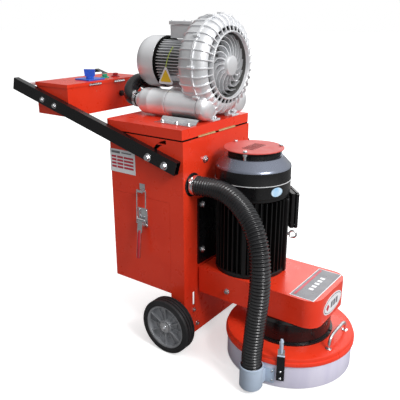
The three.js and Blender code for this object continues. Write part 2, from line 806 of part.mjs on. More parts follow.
const drive = group(machine, motor.x, 0, 0);
add(drive, "main_motor_frame", blackPaint, motorFrame());
add(drive, "motor_cowl", blackPaint, motorCowl());
add(drive, "rain_cap", paint, rainCap());
add(drive, "motor_shaft", castIron, rod("z", 12, pulley.low - 8, 660, 0, 0, 0, 16));
const motorFan = cut(fan(106, 26, 604, 646, 6), rod("z", 12 + GAP, 600, 650, 0, 0, 0, 16));
add(drive, "motor_cooling_fan", rubber, motorFan);
add(drive, "motor_pulley", castIron, beltPulley(pulley.driver, 12 + GAP));
const terminals = group(drive);
terminals.rotation.z = THREE.MathUtils.degToRad(45);
const terminalBox = prism("z", roundedOutline(motor.fin + 3, 152, -46, 46, 0, 10), 433, 564, 3);
add(terminals, "motor_terminal_box", blackPaint, terminalBox);

const frontEnd = group(machine);
const mountPlate = box(cabinet.front + GAP, arm.rear - GAP, -arm.half, arm.half, 300, 542);
add(frontEnd, "motor_mount_plate", blackPaint, mountPlate);
add(frontEnd, "belt_housing", paint, beltHousing());
add(frontEnd, "drive_belt", rubber, driveBelt());
const gears = group(frontEnd, head.x, 0, 0);
add(gears, "driven_pulley", castIron, drivenPulley());
add(gears, "gearbox_housing", blackPaint, gearboxHousing());
add(gears, "shroud_cover", paint, shroudCover());
add(frontEnd, "bow_handle", zinc, bowHandle());
add(gears, "main_disc", castIron, mainDisc());
around(3, (a, i) => {
  const at = group(gears, planet.reach * Math.cos(a), planet.reach * Math.sin(a), 0);
  add(at, `grinding_head_${i + 1}`, castIron, grindingHead());
});
const skirtRing = ring("z", skirt.inner, skirt.outer, skirt.low, skirt.high, 0, 0, 0, 36);
add(gears, "dust_skirt", skirtWhite, skirtRing);
add(frontEnd, "hose_port", portGrey, hosePort());
addSkirtLatch(frontEnd);

const extractor = group(machine);
add(extractor, "cabinet_lid", paint, cabinetLid());
add(extractor, "blower_suction_elbow", rubber, suctionElbow());
add(extractor, "blower_foot_plate", zinc, blowerFootPlate());
const turbine = group(extractor, 0, blower.y, blower.z);
add(turbine, "blower_rear_housing", castAluminium, blowerRearHousing());
add(turbine, "blower_front_cover", castAluminium, blowerFrontCover());
add(turbine, "blower_impeller", castAluminium, impeller());
add(turbine, "blower_motor_frame", castAluminium, blowerMotorFrame());
add(turbine, "blower_fan_cover", castAluminium, blowerFanCover());
add(turbine, "blower_cooling_fan", rubber, blowerFan());
add(turbine, "blower_terminal_box", castAluminium, box(-185, -79, -45, 45, 88.3, 141));
add(turbine, "blower_muffler_right", castAluminium, mufflerBody(muffler.right));
add(turbine, "blower_muffler_left", castAluminium, mufflerBody(muffler.left));

machine.updateMatrixWorld(true);
const extent = new THREE.Box3().setFromObject(machine, true);
const centre = extent.getCenter(new THREE.Vector3());
machine.position.set(-centre.x, -centre.y, -extent.min.z);

export default machine;
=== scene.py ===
"""Looks for the walk-behind concrete grinder: materials for the CAD nodes, and finer pieces
where the real machine has castings, fins, hose corrugations, fasteners and labels.

Shapes are written in machine millimetres: x = 0 is the wheel axle, y = 0 the centre plane and
z = 0 the floor, with +X towards the grinding head.  row() turns them into the row's metres.
"""

import math

import bmesh
import bpy
from mathutils import Matrix, Vector


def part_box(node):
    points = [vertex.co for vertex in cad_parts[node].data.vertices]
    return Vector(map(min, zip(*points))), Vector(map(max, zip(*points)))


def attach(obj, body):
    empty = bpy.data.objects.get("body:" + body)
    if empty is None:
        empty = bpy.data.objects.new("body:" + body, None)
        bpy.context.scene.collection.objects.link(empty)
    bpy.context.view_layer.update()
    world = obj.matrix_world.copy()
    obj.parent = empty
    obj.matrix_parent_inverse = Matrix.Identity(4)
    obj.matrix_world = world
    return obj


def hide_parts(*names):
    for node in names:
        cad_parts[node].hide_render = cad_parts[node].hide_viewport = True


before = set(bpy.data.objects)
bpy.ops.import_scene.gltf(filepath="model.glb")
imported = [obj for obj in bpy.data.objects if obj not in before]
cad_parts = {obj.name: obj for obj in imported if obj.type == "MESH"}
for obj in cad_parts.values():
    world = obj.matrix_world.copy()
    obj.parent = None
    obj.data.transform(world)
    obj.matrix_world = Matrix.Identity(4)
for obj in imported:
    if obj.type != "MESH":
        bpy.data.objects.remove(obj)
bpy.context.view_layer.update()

MM = 0.001
axle_low, axle_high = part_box("axle")
SHIFT = Vector(((axle_low.x + axle_high.x) / 2, (axle_low.y + axle_high.y) / 2, 0))
SIDES = (("right", -1), ("left", 1))


def row(x, y, z):
    """A machine point in millimetres as a point of the row frame in metres."""
    return SHIFT + Vector((x, y, z)) * MM


# ------------------------------------------------------------------ camera
CAMERA_PLACE = row(1068.3, -1522, 1137)
CAMERA_HEADING = Vector((-0.589, 0.808, 0))
CAMERA_PITCH = math.radians(19.07)
CAMERA_LENS = 48.96
SENSOR_WIDTH = 36


def add_camera():
    lens = bpy.data.cameras.new("camera")
    lens.sensor_width = SENSOR_WIDTH
    lens.lens = CAMERA_LENS
    camera = bpy.data.objects.new("camera", lens)
    bpy.context.scene.collection.objects.link(camera)
    camera.location = CAMERA_PLACE
    aim = CAMERA_HEADING.normalized() * math.cos(CAMERA_PITCH)
    aim.z = -math.sin(CAMERA_PITCH)
    camera.rotation_euler = aim.to_track_quat("-Z", "Y").to_euler()
    bpy.context.scene.camera = camera


add_camera()


# ------------------------------------------------------------------ materials
def map_range(nodes, link, value, low, high, to_low, to_high):
    """Carries a value over from one range of numbers to another."""
    mapped = nodes.new("ShaderNodeMapRange")
    limits = {"From Min": low, "From Max": high, "To Min": to_low, "To Max": to_high}
    for socket, number in limits.items():
        mapped.inputs[socket].default_value = number
    link(value, mapped.inputs["Value"])
    return mapped.outputs["Result"]


def mix_colours(nodes, link, share, first, second):
    """Blends from the first colour to the second; each is a tuple or a socket."""
    mix = nodes.new("ShaderNodeMix")
    mix.data_type = "RGBA"
    link(share, mix.inputs["Factor"])
    for socket, colour in ((mix.inputs[6], first), (mix.inputs[7], second)):
        if isinstance(colour, tuple):
            socket.default_value = (*colour, 1)
        else:
            link(colour, socket)
    return mix.outputs[2]


def textured(
    name,
    light,
    dark,
    roughness,
    patch=6.0,
    grain=500.0,
    bump=0.1,
    stretch=(1, 1, 1),
    metallic=0.0,
    coat=0.0,
    specular=0.5,
    flecks=None,
):
    """A procedural finish: soft colour patches, uneven gloss, a fine bumped grain, and
    optional specks of dust or bare metal given as (colour, share)."""
    made = bpy.data.materials.new(name)
    made.use_nodes = True
    nodes = made.node_tree.nodes
    link = made.node_tree.links.new
    shader = nodes["Principled BSDF"]
    shader.inputs["Metallic"].default_value = metallic
    shader.inputs["Coat Weight"].default_value = coat
    shader.inputs["Specular IOR Level"].default_value = specular
    shader.inputs["Coat Roughness"].default_value = 0.08

    place = nodes.new("ShaderNodeTexCoord")
    scaled = nodes.new("ShaderNodeMapping")
    scaled.inputs["Scale"].default_value = stretch
    link(place.outputs["Object"], scaled.inputs["Vector"])

    def noise(scale, detail):
        texture = nodes.new("ShaderNodeTexNoise")
        texture.inputs["Scale"].default_value = scale
        texture.inputs["Detail"].default_value = detail
        link(scaled.outputs["Vector"], texture.inputs["Vector"])
        return texture.outputs["Fac"]

    clouds = map_range(nodes, link, noise(patch, 4), 0.35, 0.65, 0, 1)
    colour = mix_colours(nodes, link, clouds, dark, light)
    if flecks:
        speck, share = flecks
        dots = noise(grain * 0.35, 6)
        spots = map_range(nodes, link, dots, 0.72 - share, 0.76 - share, 0, 0.8)
        colour = mix_colours(nodes, link, spots, colour, speck)
    link(colour, shader.inputs["Base Color"])
    spread = 0.14 * roughness
    streaks = noise(patch * 5, 5)
    gloss = map_range(nodes, link, streaks, 0.3, 0.7, roughness - spread, roughness + spread)
    link(gloss, shader.inputs["Roughness"])
    relief = nodes.new("ShaderNodeBump")
    relief.inputs["Strength"].default_value = bump
    relief.inputs["Distance"].default_value = 0.001
    link(noise(grain, 3), relief.inputs["Height"])
    link(relief.outputs["Normal"], shader.inputs["Normal"])
    return made


LOOKS = {}


def add_look(key, slot, *surface, **finish):
    """Makes one finish and keeps it under a short key, beside the record's slot it belongs to."""
    LOOKS[key] = (textured(*surface, **finish), slot)


add_look("paint", "orange_red_paint", "orange_red_enamel", (0.84, 0.05, 0.018), (0.77, 0.038, 0.012),
         0.3, grain=260, bump=0.04, coat=0.14, specular=0.35, flecks=((0.7, 0.2, 0.14), 0.015))
add_look("cap_paint", "orange_red_paint", "cap_enamel", (0.6, 0.07, 0.055), (0.5, 0.05, 0.04), 0.5,
         grain=300, bump=0.08)
add_look("black", "black_paint", "black_enamel", (0.006, 0.006, 0.007), (0.003, 0.003, 0.0035), 0.26,
         grain=320, bump=0.05, coat=0.1, specular=0.4, flecks=((0.05, 0.05, 0.05), 0.015))
add_look("motor_black", "black_paint", "motor_black", (0.006, 0.006, 0.0065), (0.003, 0.003, 0.0033),
         0.4, grain=600, bump=0.2, specular=0.35)
# The cone is black paint; its bluish grey metal colour is a painted reflection of the bright sky.
add_look("cowl_cone", "black_paint", "cowl_cone_sheen", (0.22, 0.24, 0.3), (0.17, 0.19, 0.24), 0.26,
         grain=600, bump=0.06, metallic=0.85)
add_look("cast", "cast_aluminium", "cast_aluminium_skin", (0.9, 0.91, 0.93), (0.8, 0.81, 0.83), 0.36,
         patch=9, grain=900, bump=0.25, metallic=0.6, flecks=((0.6, 0.61, 0.63), 0.03))
# A darkened copy of cast aluminium: painted shade for the blower's recess floor and for its motor core
# between the fins.
add_look("cast_shade", "cast_aluminium", "cast_aluminium_dull", (0.15, 0.15, 0.145),
         (0.09, 0.09,
         0.088), 0.55, patch=12, grain=900, bump=0.4, metallic=0.6, flecks=((0.12, 0.12, 0.12), 0.05))
add_look("silver_paint", "cast_aluminium", "silver_lacquer", (0.93, 0.94, 0.96), (0.88, 0.89, 0.91),
         0.34, patch=7, grain=700, bump=0.05, metallic=0.5, coat=0.08)
add_look("hub_cast", "cast_aluminium", "hub_casting", (0.42, 0.43, 0.45), (0.3, 0.31, 0.33), 0.42,
         patch=30, grain=900, bump=0.35, metallic=0.6, flecks=((0.2, 0.2, 0.2), 0.06))
add_look("zinc", "zinc", "zinc_plate", (0.82, 0.83, 0.84), (0.62, 0.63, 0.66), 0.24, patch=40,
         bump=0.12, stretch=(1, 1, 6), metallic=1.0)
add_look("brass", "zinc", "hinge_brass", (0.8, 0.62, 0.34), (0.66, 0.48, 0.24), 0.3, patch=40,
         metallic=0.9)
add_look("tyre", "tyre_rubber", "tyre_rubber_skin", (0.02, 0.02, 0.022), (0.011, 0.011, 0.012), 0.6,
         patch=25, grain=900, bump=0.25, specular=0.35, flecks=((0.08, 0.075, 0.07), 0.05))
add_look("hose", "hose_rubber", "hose_skin", (0.012, 0.012, 0.014), (0.006, 0.006, 0.007), 0.26,
         patch=20, bump=0.06, flecks=((0.05, 0.05, 0.05), 0.02))
add_look("skirt", "skirt_plastic", "skirt_sheet", (0.82, 0.79, 0.93), (0.72, 0.69, 0.86), 0.42,
         patch=5, grain=300, bump=0.12, stretch=(3, 3, 0.4), flecks=((0.56, 0.53, 0.62), 0.03))
add_look("port", "port_plastic", "port_moulding", (0.5, 0.6, 0.74), (0.42, 0.5, 0.62), 0.4, patch=12,
         bump=0.12, flecks=((0.36, 0.4, 0.46), 0.03))
add_look("iron", "cast_iron", "machined_iron", (0.32, 0.32, 0.33), (0.2, 0.2, 0.21), 0.42, patch=25,
         grain=800, bump=0.3, metallic=0.9, flecks=((0.15, 0.1, 0.07), 0.05))
add_look("paper", "filter_paper", "filter_pleats", (0.85, 0.83, 0.78), (0.6, 0.58, 0.53), 0.85,
         patch=60, grain=700, bump=0.3, stretch=(1, 1, 0.05))
for colour, light, dark, roughness, bump in (
    ("blue", (0.03, 0.13, 0.68), (0.02, 0.1, 0.55), 0.3, 0.08),
    ("green", (0.02, 0.45, 0.24), (0.015, 0.36, 0.19), 0.28, 0.06),
    ("red", (0.5, 0.012, 0.025), (0.4, 0.01, 0.018), 0.3, 0.08),
):
    add_look(colour, f"{colour}_plastic", f"{colour}_moulding", light, dark, roughness,
             patch=30, grain=600, bump=bump, coat=0.2)
add_look("fan", "fan_plastic", "fan_moulding", (0.02, 0.02, 0.022), (0.012, 0.012, 0.013), 0.5,
         bump=0.15)
# Near black: painted shade in gaps, slots and recesses and under the right muffler, and also the lid
# gasket's own black.
add_look("dark", "black_paint", "dark_recess", (0.004, 0.004, 0.004), (0.002, 0.002, 0.002), 0.8,
         bump=0.2, specular=0.1)
for colour, slot, light, dark, roughness, patch in (
    ("white", "skirt_plastic", (0.88, 0.88, 0.9), (0.8, 0.8, 0.83), 0.35, 20),
    ("grey", "port_plastic", (0.2, 0.2, 0.22), (0.14, 0.14, 0.16), 0.3, 20),
    ("red", "red_plastic", (0.62, 0.03, 0.06), (0.52, 0.02, 0.05), 0.35, 20),
    ("sky", "blue_plastic", (0.28, 0.55, 0.82), (0.75, 0.86, 0.93), 0.3, 26),
    ("yellow", "skirt_plastic", (0.9, 0.62, 0.03), (0.85, 0.56, 0.02), 0.35, 20),
):
    add_look(f"{colour}_label", slot, f"label_{colour}", light, dark, roughness, patch=patch, bump=0.03)
add_look("tie", "skirt_plastic", "tag_tie", (0.6, 0.75, 0.1), (0.5, 0.65, 0.08), 0.4, patch=20,
         bump=0.03)


# The CAD nodes of each look.  A name with a * stands for the right one and the left one.
NODE_LOOKS = {
    "paint": (
        "cabinet_body dust_bin axle_bracket control_box control_box_lid belt_housing cabinet_lid "
        "shroud_cover"
    ),
    "cap_paint": "rain_cap",
    "black": "handle_bar_* motor_mount_plate gearbox_housing skirt_latch_strap",
    "motor_black": "main_motor_frame motor_cowl motor_terminal_box",
    "cast": (
        "blower_rear_housing blower_front_cover blower_impeller blower_motor_frame blower_terminal_box "
        "blower_muffler_*"
    ),
    "silver_paint": "blower_fan_cover",
    "hub_cast": "wheel_hub_*",
    "zinc": (
        "latch_keeper_* latch_base_* latch_bail_* latch_lever_* axle rear_cross_handle bow_handle "
        "skirt_latch_hook blower_foot_plate"
    ),
    "tyre": "tyre_*",
    "hose": "dust_hose blower_suction_elbow drive_belt",
    "skirt": "dust_skirt",
    "port": "hose_port",
    "iron": (
        "motor_shaft motor_pulley driven_pulley main_disc grinding_head_1 grinding_head_2 grinding_head_3"
    ),
    "paper": "filter_cartridge",
    "blue": "selector_switch_knob",
    "green": "start_button",
    "red": "stop_button",
    "fan": "motor_cooling_fan blower_cooling_fan",
}

# The CAD nodes whose edges are rounded, by the rounding's width in millimetres.
SOFT_EDGES = {
    0.5: "latch_keeper_* latch_base_*",
    0.6: "blower_foot_plate",
    0.8: "skirt_latch_hook",
    1.0: "motor_mount_plate axle_bracket latch_lever_* skirt_latch_strap",
    1.2: "cabinet_body dust_bin control_box",
    1.5: "control_box_lid selector_switch_knob start_button stop_button",
    2.0: "cabinet_lid",
    2.5: "handle_bar_*",
    4.0: "belt_housing",
}


def soften(obj, width):
    """Rounds the sharp edges of a piece by that many millimetres."""
    bevel = obj.modifiers.new("soft_edges", "BEVEL")
    bevel.width = width * MM
    bevel.segments = 3
    bevel.limit_method = "ANGLE"
    bevel.angle_limit = math.radians(40)
    bevel.harden_normals = True


def nodes_named(names):
    """The CAD nodes in a list of names, with each * taken as right and then as left."""
    found = []
    for name in names.split():
        spelled = [name.replace("*", label) for label, _ in SIDES] if "*" in name else [name]
        found += [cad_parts[one] for one in spelled]
    return found


def dress_nodes():
    for key, names in NODE_LOOKS.items():
        for node in nodes_named(names):
            node.data.materials.clear()
            node.data.materials.append(LOOKS[key][0])
    for width, names in SOFT_EDGES.items():
        for node in nodes_named(names):
            soften(node, width)


dress_nodes()


# ------------------------------------------------------------------ shapes
AXES = {
    "x": Matrix(((0, 0, 1, 0), (1, 0, 0, 0), (0, 1, 0, 0), (0, 0, 0, 1))),
    "y": Matrix(((0, 1, 0, 0), (0, 0, 1, 0), (1, 0, 0, 0), (0, 0, 0, 1))),
    "z": Matrix.Identity(4),
}
HERE = Matrix.Identity(4)


def move(x, y, z):
    return Matrix.Translation((x, y, z))


def turn(angle, axis):
    return Matrix.Rotation(angle, 4, axis)


def facing(point, direction):
    """Puts a shape made along +Z at a point, with its Z along direction."""
    return move(*point) @ Vector(direction).to_track_quat("Z", "Y").to_matrix().to_4x4()


def circle(count, start=0.0):
    """Evenly spaced angles round a full turn."""
    return [start + 2 * math.pi * i / count for i in range(count)]


def ring(radius, count, start=0.0):
    """Evenly spaced points on a circle, as pairs."""
    return [(radius * math.cos(a), radius * math.sin(a)) for a in circle(count, start)]


def bar_faces(steps):
    """The faces of a bent bar whose points come in fours: its two ends and its sides."""
    last = 4 * steps
    faces = [[0, 1, 3, 2], [last, last + 1, last + 3, last + 2]]
    for a in range(0, last, 4):
        for near, far in ((0, 1), (2, 3), (1, 3), (0, 2)):
            faces.append([a + near, a + far, a + far + 4, a + near + 4])
    return faces


class Shape:
    """Points and faces in machine millimetres, gathered before they become one mesh."""

    def __init__(self):
        self.points = []
        self.faces = []

    def add(self, points, faces, placing=HERE):
        start = len(self.points)
        self.points += [placing @ Vector(p) for p in points]
        self.faces += [[start + i for i in face] for face in faces]
        return self

    def lathe(self, profile, placing=HERE, segments=48):
        """Turns (radius, height) points about Z; one that starts off the axis closes on itself."""
        points, rings = [], []
        for radius, height in profile:
            first = len(points)
            if radius < 1e-6:
                points.append((0, 0, height))
                rings.append([first] * segments)
            else:
                points += [(x, y, height) for x, y in ring(radius, segments)]
                rings.append(list(range(first, first + segments)))
        if profile[0][0] > 0:
            rings.append(rings[0])
        faces = []
        for low, high in zip(rings, rings[1:]):
            for i in range(segments):
                j = (i + 1) % segments
                face = []
                for corner in (low[i], low[j], high[j], high[i]):
                    if corner not in face:
                        face.append(corner)
                if len(face) > 2:
                    faces.append(face)
        return self.add(points, faces, placing)

    def band(self, inner, outer, low, high, *placing):
        """A ring of rectangular section, placed as lathe is; inner is 0 for a disc."""
        return self.lathe([(inner, low), (outer, low), (outer, high), (inner, high)], *placing)

    def rod(self, radius, low, high, placing=HERE, segments=24, edge=0.0):
        profile = [(0, low), (radius, low), (radius, high), (0, high)]
        if edge:
            profile = [(0, low), (radius - edge, low), (radius, low + edge), (radius, high - edge),
                       (radius - edge, high), (0, high)]
        return self.lathe(profile, placing, segments)

    def box(self, x0, x1, y0, y1, z0, z1, placing=HERE):
        return self.prism([(x0, y0), (x1, y0), (x1, y1), (x0, y1)], z0, z1, placing)

    def prism(self, outline, low, high, placing=HERE):
        count = len(outline)
        points = [(x, y, z) for z in (low, high) for x, y in outline]
        faces = [list(range(count)), list(range(count, 2 * count))]
        faces += [[i, (i + 1) % count, count + (i + 1) % count, count + i] for i in range(count)]
        return self.add(points, faces, placing)

    def tube(self, path, radius, placing=HERE, sides=12, closed=False):
        """A round tube along a path; radius is a number or one number for each point."""
        path = [Vector(p) for p in path]
        count = len(path)
        radii = radius if isinstance(radius, list) else [radius] * count
        points = []
        normal = None
        for i, centre in enumerate(path):
            before = path[i - 1] if i or closed else centre
            after = path[(i + 1) % count] if i < count - 1 or closed else centre
            along = (after - before).normalized()
            if normal is None:
                normal = along.orthogonal().normalized()
            normal = (normal - along * normal.dot(along)).normalized()
            across = along.cross(normal)
            for a in circle(sides):
                points.append(centre + (normal * math.cos(a) + across * math.sin(a)) * radii[i])
        faces = []
        for i in range(count if closed else count - 1):
            low = i * sides
            high = ((i + 1) % count) * sides
            for k in range(sides):
                beside = (k + 1) % sides
                faces.append([low + k, low + beside, high + beside, high + k])
        if not closed:
            faces += [list(range(sides)), list(range((count - 1) * sides, count * sides))]
        return self.add(points, faces, placing)

    def bolt(self, point, direction, size=8.0, washer=True):
        """A hexagon head with a washer and a short stud end; size is the thread's diameter."""
        placing = facing(point, direction)
        if washer:
            self.lathe([(0, 0), (size * 1.15, 0), (size * 1.15, size * 0.14), (size * 1.05, size * 0.2),
                        (0, size * 0.2)], placing, 24)
        across = size * 0.92
        base = size * 0.2
        top = base + size * 0.66
        outline = [(0, base), (across, base), (across, base + size * 0.5), (across * 0.88, top), (0, top)]
        self.lathe(outline, placing, 6)
        self.rod(size * 0.42, base, base + size * 0.8, placing, 12, 0.6)
        return self


def smooth_path(points, steps):
    """Catmull-Rom points through the given ones, evenly stepped between each pair."""
    points = [Vector(p) for p in points]
    ends = [2 * points[0] - points[1]] + points + [2 * points[-1] - points[-2]]
    path = []
    for i in range(1, len(ends) - 2):
        a, b, c, d = ends[i - 1 : i + 3]
        for k in range(steps):
            t = k / steps
            path.append(0.5 * (2 * b + (c - a) * t + (2 * a - 5 * b + 4 * c - d) * t**2
                               + (3 * b - a - 3 * c + d) * t**3))
    path.append(points[-1])
    return path


def even_path(path, step):
    """The same line as path, with points a fixed distance apart."""
    result = [path[0]]
    left = step
    for start, end in zip(path, path[1:]):
        length = (end - start).length
        done = 0.0
        while length - done >= left:
            done += left
            result.append(start.lerp(end, done / length))
            left = step
        left -= length - done
    return result


def piece(name, shape, look, body, bevel=0.0, replaces=(), angle=35):
    """Makes one mesh object of a shape, finished in a look and riding on a body."""
    mesh = bpy.data.meshes.new(name)
    mesh.from_pydata([row(*p) for p in shape.points], [], shape.faces)
    whole = bmesh.new()
    whole.from_mesh(mesh)
    bmesh.ops.recalc_face_normals(whole, faces=whole.faces)
    whole.to_mesh(mesh)
    whole.free()
    mesh.shade_smooth()
    mesh.set_sharp_from_angle(angle=math.radians(angle))
    made_of, slot = LOOKS[look]
    mesh.materials.append(made_of)
    obj = bpy.data.objects.new(name, mesh)
    bpy.context.scene.collection.objects.link(obj)
    if bevel:
        soften(obj, bevel)
    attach(obj, body)
    if replaces:
        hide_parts(*replaces)
    return obj


# ------------------------------------------------------------------ dust hose
HOSE_RADIUS = 32
HOSE_RIDGE = 10.5
RIDGE_DEPTH = 4.6
RIDGE_WAVE = (0, 0.55, 1, 1, 0.55, 0)
HOSE_ROUTE = [
    (60.3, -150, 598), (90, -151, 600), (135, -155, 602), (180, -166, 600), (222, -180, 590),
    (258, -193, 574), (287, -206, 555), (312, -217, 531), (331, -226, 503), (345, -234, 470),
    (354, -241, 434), (359, -246, 395), (361, -250, 354), (360, -253, 310), (357, -256, 266),
    (354, -258, 220), (351, -259, 172), (348, -260, 128), (348, -260, 92), (348, -260, 58),
]
INLET = move(0, -150, 598)


def add_dust_hose():
    steps = len(RIDGE_WAVE)
    line = even_path(smooth_path(HOSE_ROUTE, 12), HOSE_RIDGE / steps)
    radii = [HOSE_RADIUS - RIDGE_DEPTH + RIDGE_DEPTH * RIDGE_WAVE[i % steps] for i in range(len(line))]
    hose = piece("dust_hose_corrugated", Shape().tube(line, radii, sides=36), "hose", "chassis",
                 replaces=("dust_hose",), angle=80)
    clamp = Shape().lathe([(HOSE_RADIUS + 0.4, 46), (HOSE_RADIUS + 1.8, 46), (HOSE_RADIUS + 1.8, 60),
                           (HOSE_RADIUS + 0.4, 60)], INLET @ AXES["x"])
    screw = INLET @ move(53, 0, 0) @ turn(0.9, "X")
    clamp.box(-7, 7, -5, 5, HOSE_RADIUS, HOSE_RADIUS + 9, screw)
    clamp.rod(3.6, -11, 11, screw @ move(0, 0, HOSE_RADIUS + 6) @ AXES["y"], 12, 0.8)
    piece("inlet_hose_clamp", clamp, "zinc", "chassis", 0.4)
    cuff = Shape()
    cuff.band(31.3, HOSE_RADIUS, 38, 60.5, INLET @ AXES["x"])
    cuff.lathe([(31.2, 37.2), (40, 37.2), (40, 39), (38, 40.5), (31.2, 41)], INLET @ AXES["x"])
    piece("inlet_hose_cuff", cuff, "hose", "chassis")


add_dust_hose()


# ------------------------------------------------------------------ wheels
def add_wheel(label, side):
    body = f"wheel_{label}"
    placing = move(0, side * 244, 100) @ AXES["y"]
    tyre = Shape()
    grooves = []
    for at in (-12, 0, 12):
        grooves += [(99.8, at - 2.2), (95.5, at - 1.4), (95.5, at + 1.4), (99.8, at + 2.2)]
    shoulder = [(79.3, -22), (80, -25), (84, -25.6), (86, -24.2), (93, -24), (97.5, -22.5), (99.4, -19.5),
                (99.8, -17)]
    other_shoulder = [(radius, -at) for radius, at in reversed(shoulder)]
    tyre.lathe(shoulder + grooves + other_shoulder, placing, 96)
    piece(f"tyre_tread_{label}", tyre, "tyre", body, replaces=(f"tyre_{label}",))
    hub = Shape()
    hub.lathe([(10.4, -20), (24, -20), (27, -8), (70, -6), (72, -21), (79, -22), (79, 22),
               (77, 23), (73, 22), (70, 7), (27, 8), (25, 20), (23, 22), (10.4, 22)], placing, 72)
    for face in (-1, 1):
        for i, angle in enumerate(circle(12)):
            rib = placing @ turn(angle, "Z")
            height = 19 if i % 2 == 0 else 12
            hub.prism([(24, 0), (72, 0), (72, height), (24, height)], -1.8, 1.8,
                      rib @ Matrix.Scale(face, 4, (0, 0, 1)) @ turn(math.pi / 2, "X"))
        hub.lathe([(46, face * 6), (49, face * 6), (49, face * 10), (46, face * 10)], placing, 48)
    piece(f"hub_ribbed_{label}", hub, "hub_cast", body, 0.7, replaces=(f"wheel_hub_{label}",))
    cap = Shape()
    out = facing((0, side * 265.5, 100), (0, side, 0))
    cap.lathe([(0, 0), (19, 0), (19, 1.5), (16, 3), (0, 3)], out, 32)
    cap.bolt((0, side * 268, 100), (0, side, 0), 9)
    piece(f"wheel_bearing_cap_{label}", cap, "zinc", body, 0.3)


for wheel_label, wheel_side in SIDES:
    add_wheel(wheel_label, wheel_side)


# ------------------------------------------------------------------ cabinet
def add_cabinet_details():
    plate = Shape().box(-288, -170, -199.9, -199.2, 604, 686)
    piece("cabinet_data_plate", plate, "white_label", "chassis", 0.2)
    bars = Shape()
    for row_index in range(4):
        z = 620 + row_index * 12
        for x0, x1 in ((-280, -258), (-254, -226), (-222, -178)):
            bars.box(x0, x1, -200.3, -199.8, z, z + 7)
    piece("cabinet_plate_rows", bars, "red_label", "chassis")
    heading = Shape().box(-280, -240, -200.3, -199.8, 672, 680)
    heading.box(-232, -186, -200.3, -199.8, 674, 678)
    piece("cabinet_plate_heading", heading, "grey_label", "chassis")
    bolts = Shape()
    for y in (-79, 79):
        bolts.bolt((37, y, 670), (1, 0, 0), 11)
    for y in (-125, 125):
        bolts.bolt((37, y, 62), (1, 0, 0), 8)
    piece("cabinet_front_bolts", bolts, "zinc", "chassis", 0.4)
    plate_bolts = Shape()
    for y in (-104, 104):
        for z in (351, 517):
            plate_bolts.bolt((45, y, z), (1, 0, 0), 10)
    piece("mount_plate_bolts", plate_bolts, "zinc", "chassis", 0.4)
    slot_bolts = Shape()
    for y in (-145, 145):
        slot_bolts.bolt((37.5, y, 126), (1, 0, 0), 7)
    piece("axle_slot_bolts", slot_bolts, "zinc", "axle_carriage", 0.4)
    gasket = Shape()
    for x0, x1, y0, y1 in ((-284, 32.2, -197, -194), (-284, 32.2, 194, 197), (-284, -281, -197, 197),
                           (29.2, 32.2, -197, 197)):
        gasket.box(x0, x1, y0, y1, 748, 752.6)
    piece("lid_gasket", gasket, "dark", "chassis")


add_cabinet_details()


def add_hinge(name, x, y0, y1, z, body_moving, leaf, face, look):
    """A butt hinge along Y: its knuckle turns about the joint's own axis, and its leaf stands
    on the moving body from the plane x = face."""
    knuckle = Shape()
    parts = 5
    gap = 0.3
    step = (y1 - y0) / parts
    axis = move(x, 0, z) @ AXES["y"]
    for i in range(parts):
        knuckle.rod(2.4, y0 + i * step + gap, y0 + (i + 1) * step - gap, axis, 16, 0.3)
    knuckle.rod(1.2, y0 - 1, y1 + 1, axis, 10, 0.3)
    knuckle.box(face, face + 1, y0, y1, z, z + leaf)
    piece(name, knuckle, look, body_moving, 0.15)


add_hinge("lid_hinge_right", 35, -113, -16, 750.5, "lid", 5, 33.1, "brass")
add_hinge("lid_hinge_left", 35, 6, 108, 750.5, "lid", 5, 33.1, "brass")
add_hinge("control_hinge_right", -486, -94, -32, 877, "control_lid", 6, -486.4, "zinc")
add_hinge("control_hinge_left", -486, 38, 95, 877, "control_lid", 6, -486.4, "zinc")


def add_latch_details(label, side):
    def out(distance):
        return side * (199 + distance)

    grip = ((20, 414), (24, 404), (28.5, 366), (33.5, 318), (34.5, 314))
    sleeve = Shape().tube([(-140, out(x), z) for x, z in grip], [6.2, 7.2, 7.4, 7.4, 6.4], sides=16)
    piece(f"latch_grip_sleeve_{label}", sleeve, "red", f"latch_lever_{label[0]}", 0.4)
    rivets = Shape()
    for x, z in ((-155, 486), (-125, 486), (-155, 432), (-125, 432)):
        head = facing((x, out(3.2), z), (0, side, 0))
        rivets.lathe([(0, 0), (4.2, 0), (3.2, 1.6), (0, 2.2)], head, 14)
    piece(f"latch_rivets_{label}", rivets, "zinc", "chassis")
    pin = Shape().rod(2.6, -158.5, -121.5, move(0, out(14), 452) @ AXES["x"], 14, 0.5)
    piece(f"latch_pin_{label}", pin, "zinc", "chassis")


for latch_label, latch_side in SIDES:
    add_latch_details(latch_label, latch_side)


# ------------------------------------------------------------------ handle and controls
# Bolts through each bar: where they stand, their size, and their spacer's radius and inner end.
BAR_BOLTS = (
    (((-22, 668), (-91, 686)), 12, 5.5, 199.2),
    (((-605, 829), (-540, 812)), 9, 9, 197),
)


def add_handle_details():
    for label, side in SIDES:
        bolts = Shape()
        spacers = Shape()
        for places, size, radius, inner in BAR_BOLTS:
            low, high = sorted((side * inner, side * 200.3))
            for x, z in places:
                bolts.bolt((x, side * 222.6, z), (0, side, 0), size)
                spacers.rod(radius, low, high, move(x, 0, z) @ AXES["y"], 16)
        piece(f"handle_bolts_{label}", bolts, "zinc", "handle", 0.5)
        piece(f"handle_spacers_{label}", spacers, "zinc", "handle")
    grip = Shape().rod(11.2, -200, 200, move(-728.5, 0, 877.1) @ AXES["y"], 40, 0.8)
    piece("rear_grip_tube", grip, "silver_paint", "handle", replaces=("rear_cross_handle",))
    gland = Shape()
    place = move(0, 77, 829) @ AXES["x"]
    gland.band(0, 12, -491, -484, place, 6)
    gland.lathe([(0, -484), (9, -484), (8, -472), (5, -468), (0, -468)], place, 24)
    piece("cable_gland", gland, "fan", "handle", 0.4)


add_handle_details()


